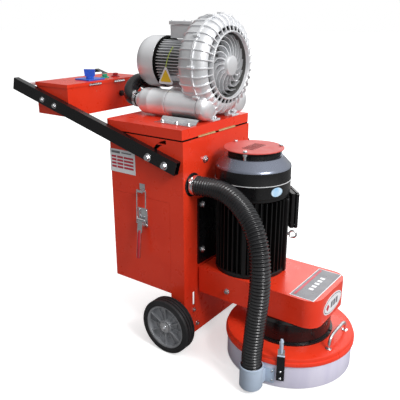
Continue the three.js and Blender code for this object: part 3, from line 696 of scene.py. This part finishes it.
def round_outline(centres, radius, steps=5):
    """A convex outline whose round corners turn about the given points, taken anticlockwise."""
    outline = []
    for i, (x, y) in enumerate(centres):
        before = centres[i - 1]
        after = centres[(i + 1) % len(centres)]
        first = math.atan2(y - before[1], x - before[0]) - math.pi / 2
        last = math.atan2(after[1] - y, after[0] - x) - math.pi / 2
        last += 2 * math.pi if last < first else 0
        for k in range(steps + 1):
            a = first + (last - first) * k / steps
            outline.append((x + radius * math.cos(a), y + radius * math.sin(a)))
    return outline


def rounded(x0, x1, y0, y1, radius, steps=5):
    """The outline of a rectangle with round corners."""
    low_x, high_x = x0 + radius, x1 - radius
    low_y, high_y = y0 + radius, y1 - radius
    centres = [(low_x, low_y), (high_x, low_y), (high_x, high_y), (low_x, high_y)]
    return round_outline(centres, radius, steps)


def centre_of(node):
    """The middle of a CAD node in machine millimetres."""
    low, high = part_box(node)
    return ((low + high) / 2 - SHIFT) / MM


def add_controls():
    top = 888.2
    x, y, _ = centre_of("selector_switch_knob")
    base = Shape().prism(rounded(x - 42, x + 42, y - 42, y + 42, 5), top, top + 4.8)
    piece("selector_base_plate", base, "blue", "control_lid", 0.8)
    for name, look in (("start", "green"), ("stop", "red")):
        x, y, _ = centre_of(f"{name}_button")
        bezel = Shape().lathe([(11.2, top), (17, top), (17, top + 3), (15.5, top + 5), (11.2, top + 5)],
                              move(x, y, 0), 40)
        piece(f"{name}_bezel", bezel, look, "control_lid", 0.3)


add_controls()

# ------------------------------------------------------------------ main motor
MOTOR = move(179, 0, 0)
TERMINALS = MOTOR @ turn(math.radians(45), "Z")


def add_motor_frame():
    body = Shape()
    body.lathe([(20, 290.4), (122, 290.4), (122, 302), (118, 305), (101, 306), (101, 556), (116, 558),
                (120, 560), (120, 572), (20, 572)], MOTOR, 72)
    for angle in circle(40):
        if not 22 < math.degrees(angle) < 68:
            body.box(98, 121, -1.7, 1.7, 306, 556, MOTOR @ turn(angle, "Z"))
    for angle in (20, 110, 200, 290):
        body.box(96, 123, -7, 7, 294, 568, MOTOR @ turn(math.radians(angle), "Z"))
    piece("motor_finned_frame", body, "motor_black", "chassis", 0.8, replaces=("main_motor_frame",))


def add_motor_cowl():
    shell = Shape()
    shell.lathe([(126, 572.6), (126.2, 612), (127, 614), (127, 617), (126.2, 619), (126, 655),
                 (124.6, 661), (121, 665), (100, 688), (97, 691), (86, 691), (86, 689),
                 (96, 688), (122, 660), (123.5, 655), (123.5, 572.6)], MOTOR, 96)
    piece("motor_cowl_shell", shell, "black", "chassis", 0.3, replaces=("motor_cowl",))
    # Painted reflection: the black cowl's cone is coloured bluish grey metal so it shows the bright sky.
    cone = Shape()
    cone.lathe([(126.5, 657), (125.1, 662), (121.6, 665.6), (100.5, 688.8), (97.4, 691.5),
                (86, 691.5), (86, 691.1), (97, 691.1), (100, 688.3), (121, 665), (124.6, 661.4),
                (126.1, 657)], MOTOR, 96)
    piece("motor_cowl_cone", cone, "cowl_cone", "chassis")
    # Painted highlight: a silver skin over the black cowl's bead stands in for the bright line along it.
    bead = Shape().lathe([(126.4, 613.6), (127.9, 614.4), (127.9, 616.2), (126.4, 617)], MOTOR, 96)
    piece("motor_cowl_bead_highlight", bead, "silver_paint", "chassis")


def add_motor_intake():
    mesh_radius = 84
    wire = 0.55
    mesh = Shape()
    for z in range(693, 713, 3):
        mesh.tube([(x, y, z) for x, y in ring(mesh_radius, 64)], wire, MOTOR, 5, closed=True)
    for x, y in ring(mesh_radius, 96):
        mesh.tube([(x, y, 690.5), (x, y, 713)], wire, MOTOR, 4)
    piece("motor_intake_mesh", mesh, "fan", "chassis")
    piece("motor_intake_shade", Shape().band(0, 82, 688, 709, MOTOR, 48), "dark", "chassis")


def add_rain_cap():
    cap = Shape()
    cap.lathe([(0, 713.6), (98, 713.6), (100, 714.4), (100.4, 716), (99, 717.4), (96, 717), (0, 717)],
              MOTOR, 96)
    piece("rain_cap_disc", cap, "cap_paint", "chassis", replaces=("rain_cap",))
    # Painted shade: near-black patches where the cap's slots show the dark inside.
    slots = Shape()
    for k in range(-3, 4):
        slots.prism(rounded(-22, 22, -2, 2, 1.9), 716.9, 717.5, MOTOR @ move(0, k * 13, 0))
    piece("rain_cap_slot_shade", slots, "dark", "chassis")
    posts = Shape()
    for x, y in ring(92, 3, -1.34):
        place = MOTOR @ move(x, y, 0)
        posts.rod(4.8, 691.2, 722, place, 20, 0.8)
        posts.lathe([(0, 717.2), (8, 717.2), (8, 722), (7, 723.4), (0, 723.4)], place, 6)
        posts.band(0, 8, 706, 713, place, 6)
    piece("rain_cap_posts", posts, "zinc", "chassis", 0.4)


def add_motor_terminals():
    box = Shape()
    box.prism(rounded(124, 140, -44, 44, 5), 436, 561, TERMINALS)
    box.prism(rounded(100, 128, -32, 32, 4), 446, 550, TERMINALS)
    piece("motor_terminal_case", box, "motor_black", "chassis", 2.2, replaces=("motor_terminal_box",))
    cover = Shape().prism(rounded(-46, 46, 434, 563, 8), 140.5, 152, TERMINALS @ AXES["x"])
    piece("motor_terminal_cover", cover, "black", "chassis", 3.0)
    screws = Shape()
    for y in (-38, 38):
        for z in (443, 554):
            screws.rod(3.6, 151.5, 154, TERMINALS @ move(0, y, z) @ AXES["x"], 16, 0.8)
    piece("motor_terminal_screws", screws, "zinc", "chassis")


def add_motor_fittings():
    pad = Shape().box(104, 128, -9, 9, 292, 552, MOTOR @ turn(math.radians(12), "Z"))
    piece("motor_rib_pad", pad, "motor_black", "chassis", 3.0)
    eye = Shape()
    place = MOTOR @ turn(math.radians(16), "Z") @ move(0, 0, 426)
    eye.tube([(145 + x, 0, z) for x, z in ring(12, 28)], 3.4, place, 12, closed=True)
    eye.lathe([(0, 120), (9, 120), (9, 125), (5, 128), (5, 132), (0, 132)], place @ AXES["x"], 24)
    piece("motor_lifting_eye", eye, "zinc", "chassis")
    sticker = Shape()
    tilt = MOTOR @ turn(math.radians(-22), "Z") @ AXES["x"]
    sticker.prism([(22 * math.cos(a), 594 + 15 * math.sin(a)) for a in circle(40)], 124.5, 127.2, tilt)
    piece("motor_cowl_sticker", sticker, "sky_label", "chassis")


add_motor_frame()
add_motor_cowl()
add_motor_intake()
add_rain_cap()
add_motor_terminals()
add_motor_fittings()


# ------------------------------------------------------------------ arm and grinding head
def add_arm_details():
    side_bolts = Shape()
    for side in (-1, 1):
        side_bolts.bolt((163, side * 124, 230), (0, side, 0), 9)
    piece("arm_side_bolts", side_bolts, "zinc", "chassis", 0.4)
    plaque = Shape().box(393, 477, -115, 109, 290.2, 291)
    piece("arm_plaque_border", plaque, "white_label", "chassis", 0.2)
    piece("arm_plaque_field", Shape().box(396, 474, -112, 106, 290.9, 291.5), "grey_label", "chassis")
    marks = Shape()
    for k in range(5):
        y = -52 + k * 22
        marks.box(428, 444, y, y + 13, 291.4, 291.9)
    piece("arm_plaque_marks", marks, "white_label", "chassis")
    piece("arm_plaque_stripe", Shape().box(402, 410, -104, 98, 291.4, 291.9), "red_label", "chassis")
    for name, look, wide, tall, out in (
        ("arm_badge_base", "white_label", 72, 33, 493.9),
        ("arm_badge_ring", "grey_label", 67, 28.5, 494.4),
        ("arm_badge_field", "white_label", 64.5, 26, 494.9),
    ):
        oval = [(2 + wide * math.cos(a), 240 + tall * math.sin(a)) for a in circle(56)]
        piece(name, Shape().prism(oval, 492.6, out, AXES["x"]), look, "chassis")
    diamond = Shape().prism([(-40, 252), (-28, 240), (-40, 228), (-52, 240)], 494, 495.4, AXES["x"])
    piece("arm_badge_diamond", diamond, "red_label", "chassis")
    bars = Shape()
    for y in (-16, 4, 24):
        bars.box(y, y + 14, 229, 251, 494, 495.3, AXES["x"])
    piece("arm_badge_bars", bars, "grey_label", "chassis")


add_arm_details()

HEAD_X = 345
HEAD = move(HEAD_X, 0, 0)


def add_grinding_head():
    drum = Shape()
    drum.lathe([(62.5, 112.5), (146, 112.5), (146, 118), (138, 119), (138, 184), (132, 192), (62.5, 192)],
               HEAD, 96)
    for angle in circle(8, 0.2):
        place = HEAD @ turn(angle, "Z") @ move(142, 0, 118)
        drum.rod(3.5, 0, 4, place, 6)
    piece("gearbox_drum", drum, "black", "chassis", 0.6, replaces=("gearbox_housing",))
    cover = Shape()
    cover.lathe([(64, 108), (213, 108), (214.5, 106.5), (214.5, 99), (216, 98), (216, 85),
                 (219, 84.5), (220.3, 86), (220.3, 97), (219, 99), (216.6, 99.6), (216.4, 107),
                 (214.6, 111), (210, 112.2), (64, 112.2)], HEAD, 128)
    piece("shroud_pressing", cover, "paint", "chassis", replaces=("shroud_cover",))
    skirt = Shape()
    skirt.lathe([(211, 3), (212, 2), (213.5, 2), (214, 3), (214, 90), (211, 90)], HEAD, 128)
    piece("skirt_band", skirt, "skirt", "skirt", replaces=("dust_skirt",))
    joint = Shape().box(211, 215.2, -16, 16, 4, 82.5, HEAD @ turn(math.radians(150), "Z"))
    piece("skirt_lap_joint", joint, "skirt", "skirt", 0.6)
    bow = Shape()
    x = 520
    half = ((68, 112.6), (66, 130), (58, 146), (42, 153))
    route = [(x, -y, z) for y, z in half] + [(x, 0, 154)] + [(x, y, z) for y, z in reversed(half)]
    bow.tube(smooth_path(route, 6), 5, sides=20)
    for y in (-68, 68):
        bow.rod(10, 112.4, 115.5, move(x, y, 0), 28, 0.8)
    piece("bow_handle_bar", bow, "zinc", "chassis", replaces=("bow_handle",))


add_grinding_head()

PORT_X = 348
PORT = move(PORT_X, -260, 0)


def add_hose_port():
    sleeve = Shape()
    sleeve.lathe([(0, 40), (33.6, 40), (33.6, 92), (34.5, 94), (37, 94), (38, 92), (38, 88), (37, 87),
                  (37, 20), (34, 15), (28, 13.5), (0, 13.5)], PORT, 56)
    piece("hose_port_sleeve", sleeve, "port", "skirt", 0.4, replaces=("hose_port",))
    saddle = Shape()
    first, last, steps = -104.5, -74.5, 12
    points = []
    for k in range(steps + 1):
        a = math.radians(first + (last - first) * k / steps)
        for radius in (214.4, 217):
            for z in (14, 68):
                points.append((HEAD_X + radius * math.cos(a), radius * math.sin(a), z))
    saddle.add(points, bar_faces(steps))
    # The block between sleeve and skirt is stepped round the sleeve's bore.
    for near, far, start in ((0, 18, -226), (18, 23.5, -231), (23.5, 28, -235.5)):
        saddle.box(PORT_X - far, PORT_X - near, start, -216, 18, 64)
        saddle.box(PORT_X + near, PORT_X + far, start, -216, 18, 64)
    piece("hose_port_saddle", saddle, "port", "skirt", 1.0)
    rivets = Shape()
    for angle in (-102.5, -76.5):
        a = math.radians(angle)
        out = (math.cos(a), math.sin(a), 0)
        for z in (24, 58):
            rivets.lathe([(0, 0), (4, 0), (3, 1.6), (0, 2.2)],
                         facing((HEAD_X + 217 * out[0], 217 * out[1], z), out), 14)
    piece("hose_port_rivets", rivets, "zinc", "skirt")
    latch = HEAD @ turn(math.radians(-69.4), "Z")
    studs = Shape()
    for z in (42, 67):
        studs.rod(4, 224, 226.5, latch @ move(0, 0, z) @ AXES["x"], 16, 0.8)
    piece("skirt_latch_rivets", studs, "zinc", "skirt")
    knob = Shape()
    knob.tube([(223.6, 0, 136), (224, 0, 150), (225.6, 0, 166), (226.2, 0, 178), (225.6, 0, 187)],
              [4.5, 5.5, 6.0, 6.4, 4.2], latch, 16)
    knob.rod(3.2, -12, 12, latch @ move(223.4, 0, 125) @ AXES["y"], 14, 0.5)
    piece("skirt_latch_tip", knob, "port", "skirt_hook", 0.4)


add_hose_port()

# ------------------------------------------------------------------ ring blower
BLOWER_Y = 56
BLOWER_Z = 967
PORT_OUT = 96
PORT_DOWN = 131
RIBS = 34
BLOWER = move(0, BLOWER_Y, BLOWER_Z)
ON_X = BLOWER @ AXES["x"]

# Lays a flat outline of (radius, x) points so that radius runs outwards and x along the axis.
RADIAL = Matrix(((0, 1, 0, 0), (1, 0, 0, 0), (0, 0, -1, 0), (0, 0, 0, 1)))


def about_x(angle):
    """Turns a shape made in the plane z = 0, with y outwards, about the blower's axis."""
    return BLOWER @ turn(angle, "X")


def port_axis(side):
    """Puts a lathed shape on the axis of the blower's port and muffler on one side."""
    return BLOWER @ move(0, side * PORT_OUT, -PORT_DOWN) @ AXES["x"]


def add_blower_rear():
    rear = Shape()
    rear.lathe([(20, -68), (134, -68), (147, -63), (156, -53), (160, -40), (160, -5), (165, -4),
                (165, -0.4), (150, -0.4), (150, -40), (140, -56), (20, -60)], ON_X, 96)
    for angle in circle(RIBS):
        rear.prism([(131, -66), (146, -61.5), (155, -52), (159, -39), (159, -4), (164.5, -4),
                    (164.5, -40), (160, -55), (150, -66), (133, -71)], -2.1, 2.1, about_x(angle) @ RADIAL)
    for side in (-1, 1):
        rear.lathe([(0, -133.6), (45, -133.6), (46.6, -132), (46.6, -122), (45.4, -120), (45.4, -2),
                    (0, -2)], port_axis(side), 56)
    piece("blower_rear_casting", rear, "cast", "lid", 0.5, replaces=("blower_rear_housing",))


def add_blower_front():
    front = Shape()
    front.lathe([(0, 0.4), (165, 0.4), (165, 4), (160, 5), (158.5, 16), (153.5, 27), (145, 36),
                 (136, 41), (129, 42.5), (127, 41), (126.5, 15), (114, 15), (113.4, 49), (112, 51.4),
                 (108.6, 51.4), (107.4, 49), (104, 16), (100, 10), (0, 10)], ON_X, 112)
    for angle in circle(RIBS):
        front.prism([(159, 4), (156.5, 16), (151.5, 26), (143, 34.5), (135, 39.5), (127, 41.5),
                     (112, 46.5), (112, 51), (129, 47.5), (138, 46), (149, 40), (158, 30), (163.5, 17),
                     (164.8, 4)], -2.1, 2.1, about_x(angle) @ RADIAL)
    piece("blower_front_casting", front, "cast", "lid", 0.5, replaces=("blower_front_cover",))
    groove = Shape().lathe([(114.2, 15.2), (126.2, 15.2), (126.7, 33), (113.8, 33)], ON_X, 96)
    piece("blower_groove_shade", groove, "dark", "lid")
    # Painted shade: the recess floor is a darkened copy of the cast aluminium.
    floor = Shape()
    floor.lathe([(34, 10.2), (99.8, 10.2), (103.8, 16.2), (106.4, 40), (105.8, 40), (103, 16.6), (99, 11),
                 (34, 11)], ON_X, 96)
    piece("blower_recess_painted_shade", floor, "cast_shade", "lid")


def add_blower_vanes():
    """Curved vanes that run from the hub to the wall of the front recess."""
    vanes = Shape()
    inner = 33
    reach = [inner + 7 * k for k in range(11)]
    for angle in circle(17):
        points = []
        for radius in reach:
            bend = 0.000021 * (radius - inner) ** 2.5
            for shift in (-1.3, 1.3):
                at = angle + bend + shift / radius
                for x in (10.5, 45 - 0.2 * (radius - inner)):
                    points.append((x, radius * math.cos(at), radius * math.sin(at)))
        vanes.add(points, bar_faces(len(reach) - 1), BLOWER)
    piece("blower_front_vanes", vanes, "cast", "lid", angle=50)
    hub = Shape()
    hub.lathe([(0, 9), (40, 9), (36, 22), (34, 49), (31, 53), (26, 54.2), (0, 54.6)], ON_X, 64)
    piece("blower_hub_boss", hub, "cast", "lid", 0.5)


def add_blower_lugs():
    lugs = Shape()
    for angle in circle(10, 0.3):
        place = BLOWER @ turn(angle, "X") @ move(0, 0, 166)
        lugs.rod(6, -11, 9, place @ AXES["x"], 20, 0.6)
        lugs.band(0, 4.6, 9, 12.5, place @ AXES["x"], 6)
    lugs.prism([(-13, 158), (13, 158), (9, 170), (-9, 170)], -6, 10, BLOWER @ AXES["x"])
    piece("blower_flange_lugs", lugs, "cast", "lid", 0.5)


add_blower_rear()
add_blower_front()
add_blower_vanes()
add_blower_lugs()


def add_blower_ports():
    ports = Shape()
    for side in (-1, 1):
        ports.lathe([(0, 0.5), (45.4, 0.5), (45.4, 15), (42, 24), (32, 32), (16, 36.5), (0, 37)],
                    port_axis(side), 56)
        ports.prism([(side * 64, -95), (side * 139, -118), (side * 139, -148), (side * 70, -172),
                     (side * 30, -150)], 1, 22, BLOWER @ AXES["x"])
        ports.prism([(side * 36, -180.3), (side * 82, -180.3), (side * 84, -172), (side * 74, -120),
                     (side * 52, -120)], 2, 14, BLOWER @ AXES["x"])
        ports.box(-2, 32, side * 60 - 22, side * 60 + 22, -180.4, -173, BLOWER)
    piece("blower_port_castings", ports, "cast", "lid", 1.2)
    feet = Shape()
    for side in (-1, 1):
        feet.bolt((24, BLOWER_Y + side * 60, 794), (0, 0, 1), 8)
    piece("blower_foot_bolts", feet, "zinc", "lid", 0.3)
    for label, side in SIDES:
        muffler = Shape()
        muffler.lathe([(0, -281.6), (25.6, -281.6), (26, -268), (33, -265), (40, -260), (44.5, -252),
                       (46, -242), (46, -216), (46.7, -214), (46.7, -210), (46, -208), (46, -148),
                       (46.8, -146), (46.8, -134.6), (0, -134.6)], port_axis(side), 56)
        piece(f"muffler_can_{label}", muffler, "silver_paint", "lid", 0.3,
              replaces=(f"blower_muffler_{label}",))
    # Painted shadow: a near-black block on the lid under the right muffler.
    piece("muffler_shadow_block", Shape().box(-112, -2, -86, -66, 786.6, 799), "dark", "lid", 2.0)


add_blower_ports()


def add_blower_motor():
    # Painted shade: the core is darkened cast aluminium so the shade between the fins shows.
    core = Shape()
    core.lathe([(17, -68.5), (98, -68.5), (98, -76), (92, -79), (76, -80), (76, -211), (80, -212),
                (80, -217), (17, -217)], ON_X, 72)
    piece("blower_motor_core", core, "cast_shade", "lid", 0.3, replaces=("blower_motor_frame",))
    fins = Shape()
    for angle in circle(52):
        if abs(math.degrees(angle) - 90) > 24:
            fins.box(-211, -78, 74, 88, -1.1, 1.1, about_x(angle))
    fins.band(90, 98.3, -76, -68.6, ON_X, 72)
    for angle in (-32, 212):
        fins.box(-196, -92, 76, 92, -9, 9, about_x(math.radians(angle)))
    piece("blower_motor_fins", fins, "cast", "lid", 0.3)
    # Painted shade: a near-black ring in the gap between the fins and the fan cover.
    piece("blower_motor_gap_shade", Shape().band(80.4, 87, -223.6, -211.6, ON_X, 64), "dark", "lid")
    cover = Shape()
    cover.lathe([(30, -311.6), (62, -311.6), (76, -309), (86, -301), (91, -288), (92.4, -270),
                 (92.4, -224), (90, -224), (90, -268), (84, -296), (62, -308.5), (30, -308.5)], ON_X, 80)
    guard = -310
    for radius in (12, 18, 24, 30):
        cover.tube([(guard, y, z) for y, z in ring(radius, 40)], 1.3, BLOWER, 8, closed=True)
    for y, z in ring(32, 8):
        cover.tube([(guard, 0, 0), (guard, y, z)], 1.2, BLOWER, 8)
    piece("blower_fan_cowl", cover, "silver_paint", "lid", 0.3, replaces=("blower_fan_cover",))
    case = Shape()
    case.prism(rounded(-181, -83, -41, 41, 5), 84, 128, BLOWER)
    case.prism(rounded(-185, -79, -45, 45, 7), 129, 141, BLOWER)
    piece("blower_terminal_case", case, "cast", "lid", 1.5, replaces=("blower_terminal_box",))
    screws = Shape()
    for x in (-176, -88):
        for y in (-36, 36):
            screws.rod(3.4, 140.5, 143, BLOWER @ move(x, y, 0), 14, 0.6)
    piece("blower_terminal_screws", screws, "zinc", "lid")


add_blower_motor()


def add_hanging_tag():
    hung = move(-161, -37, 905) @ turn(math.pi / 2, "X")
    border = Shape().prism(round_outline([(-25, 0), (25, 0), (0, 46)], 6), -0.5, 0.5, hung)
    piece("hanging_tag_border", border, "white_label", "lid")
    face = Shape().prism(round_outline([(-20, 5), (20, 5), (0, 39)], 3), 0.4, 1.1, hung)
    piece("hanging_tag_face", face, "yellow_label", "lid")
    loop = [(-161, -37, 955), (-158, -34, 976), (-153, -29, 998), (-146, -13, 1025)]
    piece("hanging_tag_tie", Shape().tube(loop, 1.3, sides=6), "tie", "lid")


add_hanging_tag()

ELBOW_ROUTE = [
    (-282.3, -40, 836), (-304, -40, 837), (-326, -37, 844), (-341, -25, 861), (-346, -3, 881),
    (-344, 26, 894), (-334, 56, 884), (-315, 75, 858), (-294, 84, 826), (-284, 85, 804),
    (-282, 85, 786.5),
]


def add_elbow():
    bend = Shape().tube(smooth_path(ELBOW_ROUTE, 5), 25.5, sides=32)
    piece("suction_bend", bend, "hose", "lid", replaces=("blower_suction_elbow",), angle=60)
    clamps = Shape()
    clamps.band(25.8, 27.4, -299, -287, move(0, -40, 836.3) @ AXES["x"], 48)
    screw = move(-293, -40, 836.3) @ turn(0.6, "X")
    clamps.box(-6, 6, -4.5, 4.5, 25, 34, screw)
    clamps.rod(3.2, -10, 10, screw @ move(0, 0, 31) @ AXES["y"], 12, 0.6)
    clamps.band(25.8, 27.4, 790, 800, move(-282, 85, 0), 48)
    piece("suction_bend_clamps", clamps, "zinc", "lid", 0.3)
    bolts = Shape()
    for x in (-104, -44, 6):
        bolts.bolt((x, -128, 788.8), (0, 0, 1), 7)
    piece("foot_plate_bolts", bolts, "zinc", "lid", 0.3)


add_elbow()


# ------------------------------------------------------------------ studio
BRIGHT_SIDE = (0.5, 0.35, 0.79)
FLOOR_HALF = 30
LIGHTS = (
    ("key_light", (3.5, -1.1, 3.1), 1.2, 118),
    ("fill_light", (-1.6, -3.2, 2.0), 2.0, 3),
    ("rim_light", (-1.0, 3.0, 2.6), 2.0, 30),
)


def seen_by_camera(nodes):
    """One for a ray straight from the camera, zero for one that lights or mirrors."""
    return nodes.new("ShaderNodeLightPath").outputs["Is Camera Ray"]


def add_sky():
    """White behind the machine; towards the machine it is bright on one side and dim on the other."""
    world = bpy.data.worlds.new("studio")
    world.use_nodes = True
    nodes = world.node_tree.nodes
    link = world.node_tree.links.new
    slope = nodes.new("ShaderNodeVectorMath")
    slope.operation = "DOT_PRODUCT"
    slope.inputs[1].default_value = BRIGHT_SIDE
    link(nodes.new("ShaderNodeTexCoord").outputs["Generated"], slope.inputs[0])
    ramp = map_range(nodes, link, slope.outputs["Value"], -0.5, 0.9, 0.05, 1.1)
    brighter = nodes.new("ShaderNodeMath")
    brighter.operation = "MAXIMUM"
    link(ramp, brighter.inputs[0])
    link(seen_by_camera(nodes), brighter.inputs[1])
    back = nodes["Background"]
    back.inputs["Color"].default_value = (1, 1, 1, 1)
    link(brighter.outputs["Value"], back.inputs["Strength"])
    bpy.context.scene.world = world


def floor_finish():
    """White to the camera and mid grey to everything it lights, as under a cut-out product."""
    made = bpy.data.materials.new("studio_floor")
    made.use_nodes = True
    nodes = made.node_tree.nodes
    link = made.node_tree.links.new
    shader = nodes["Principled BSDF"]
    shader.inputs["Roughness"].default_value = 0.95
    shader.inputs["Specular IOR Level"].default_value = 0.0
    shader.inputs["Emission Color"].default_value = (1, 1, 1, 1)
    seen = seen_by_camera(nodes)
    shade = mix_colours(nodes, link, seen, (0.25, 0.25, 0.25), (0.92, 0.92, 0.92))
    link(shade, shader.inputs["Base Color"])
    glow = nodes.new("ShaderNodeMath")
    glow.operation = "MULTIPLY"
    glow.inputs[1].default_value = 0.45
    link(seen, glow.inputs[0])
    link(glow.outputs["Value"], shader.inputs["Emission Strength"])
    return made


def add_floor():
    corners = [(x * FLOOR_HALF, y * FLOOR_HALF, 0) for x, y in ((-1, -1), (1, -1), (1, 1), (-1, 1))]
    floor_mesh = bpy.data.meshes.new("floor")
    floor_mesh.from_pydata(corners, [], [(0, 1, 2, 3)])
    floor_mesh.materials.append(floor_finish())
    floor = bpy.data.objects.new("floor", floor_mesh)
    floor.location.z = -0.0005
    bpy.context.scene.collection.objects.link(floor)


def add_lights():
    target = Vector((0.05, 0, 0.5))
    for name, place, size, power in LIGHTS:
        lamp = bpy.data.lights.new(name, "AREA")
        lamp.size = size
        lamp.energy = power
        light = bpy.data.objects.new(name, lamp)
        light.location = place
        light.rotation_euler = (target - Vector(place)).to_track_quat("-Z", "Y").to_euler()
        bpy.context.scene.collection.objects.link(light)


add_floor()
add_sky()
add_lights()
bpy.context.scene.view_settings.view_transform = "Standard"
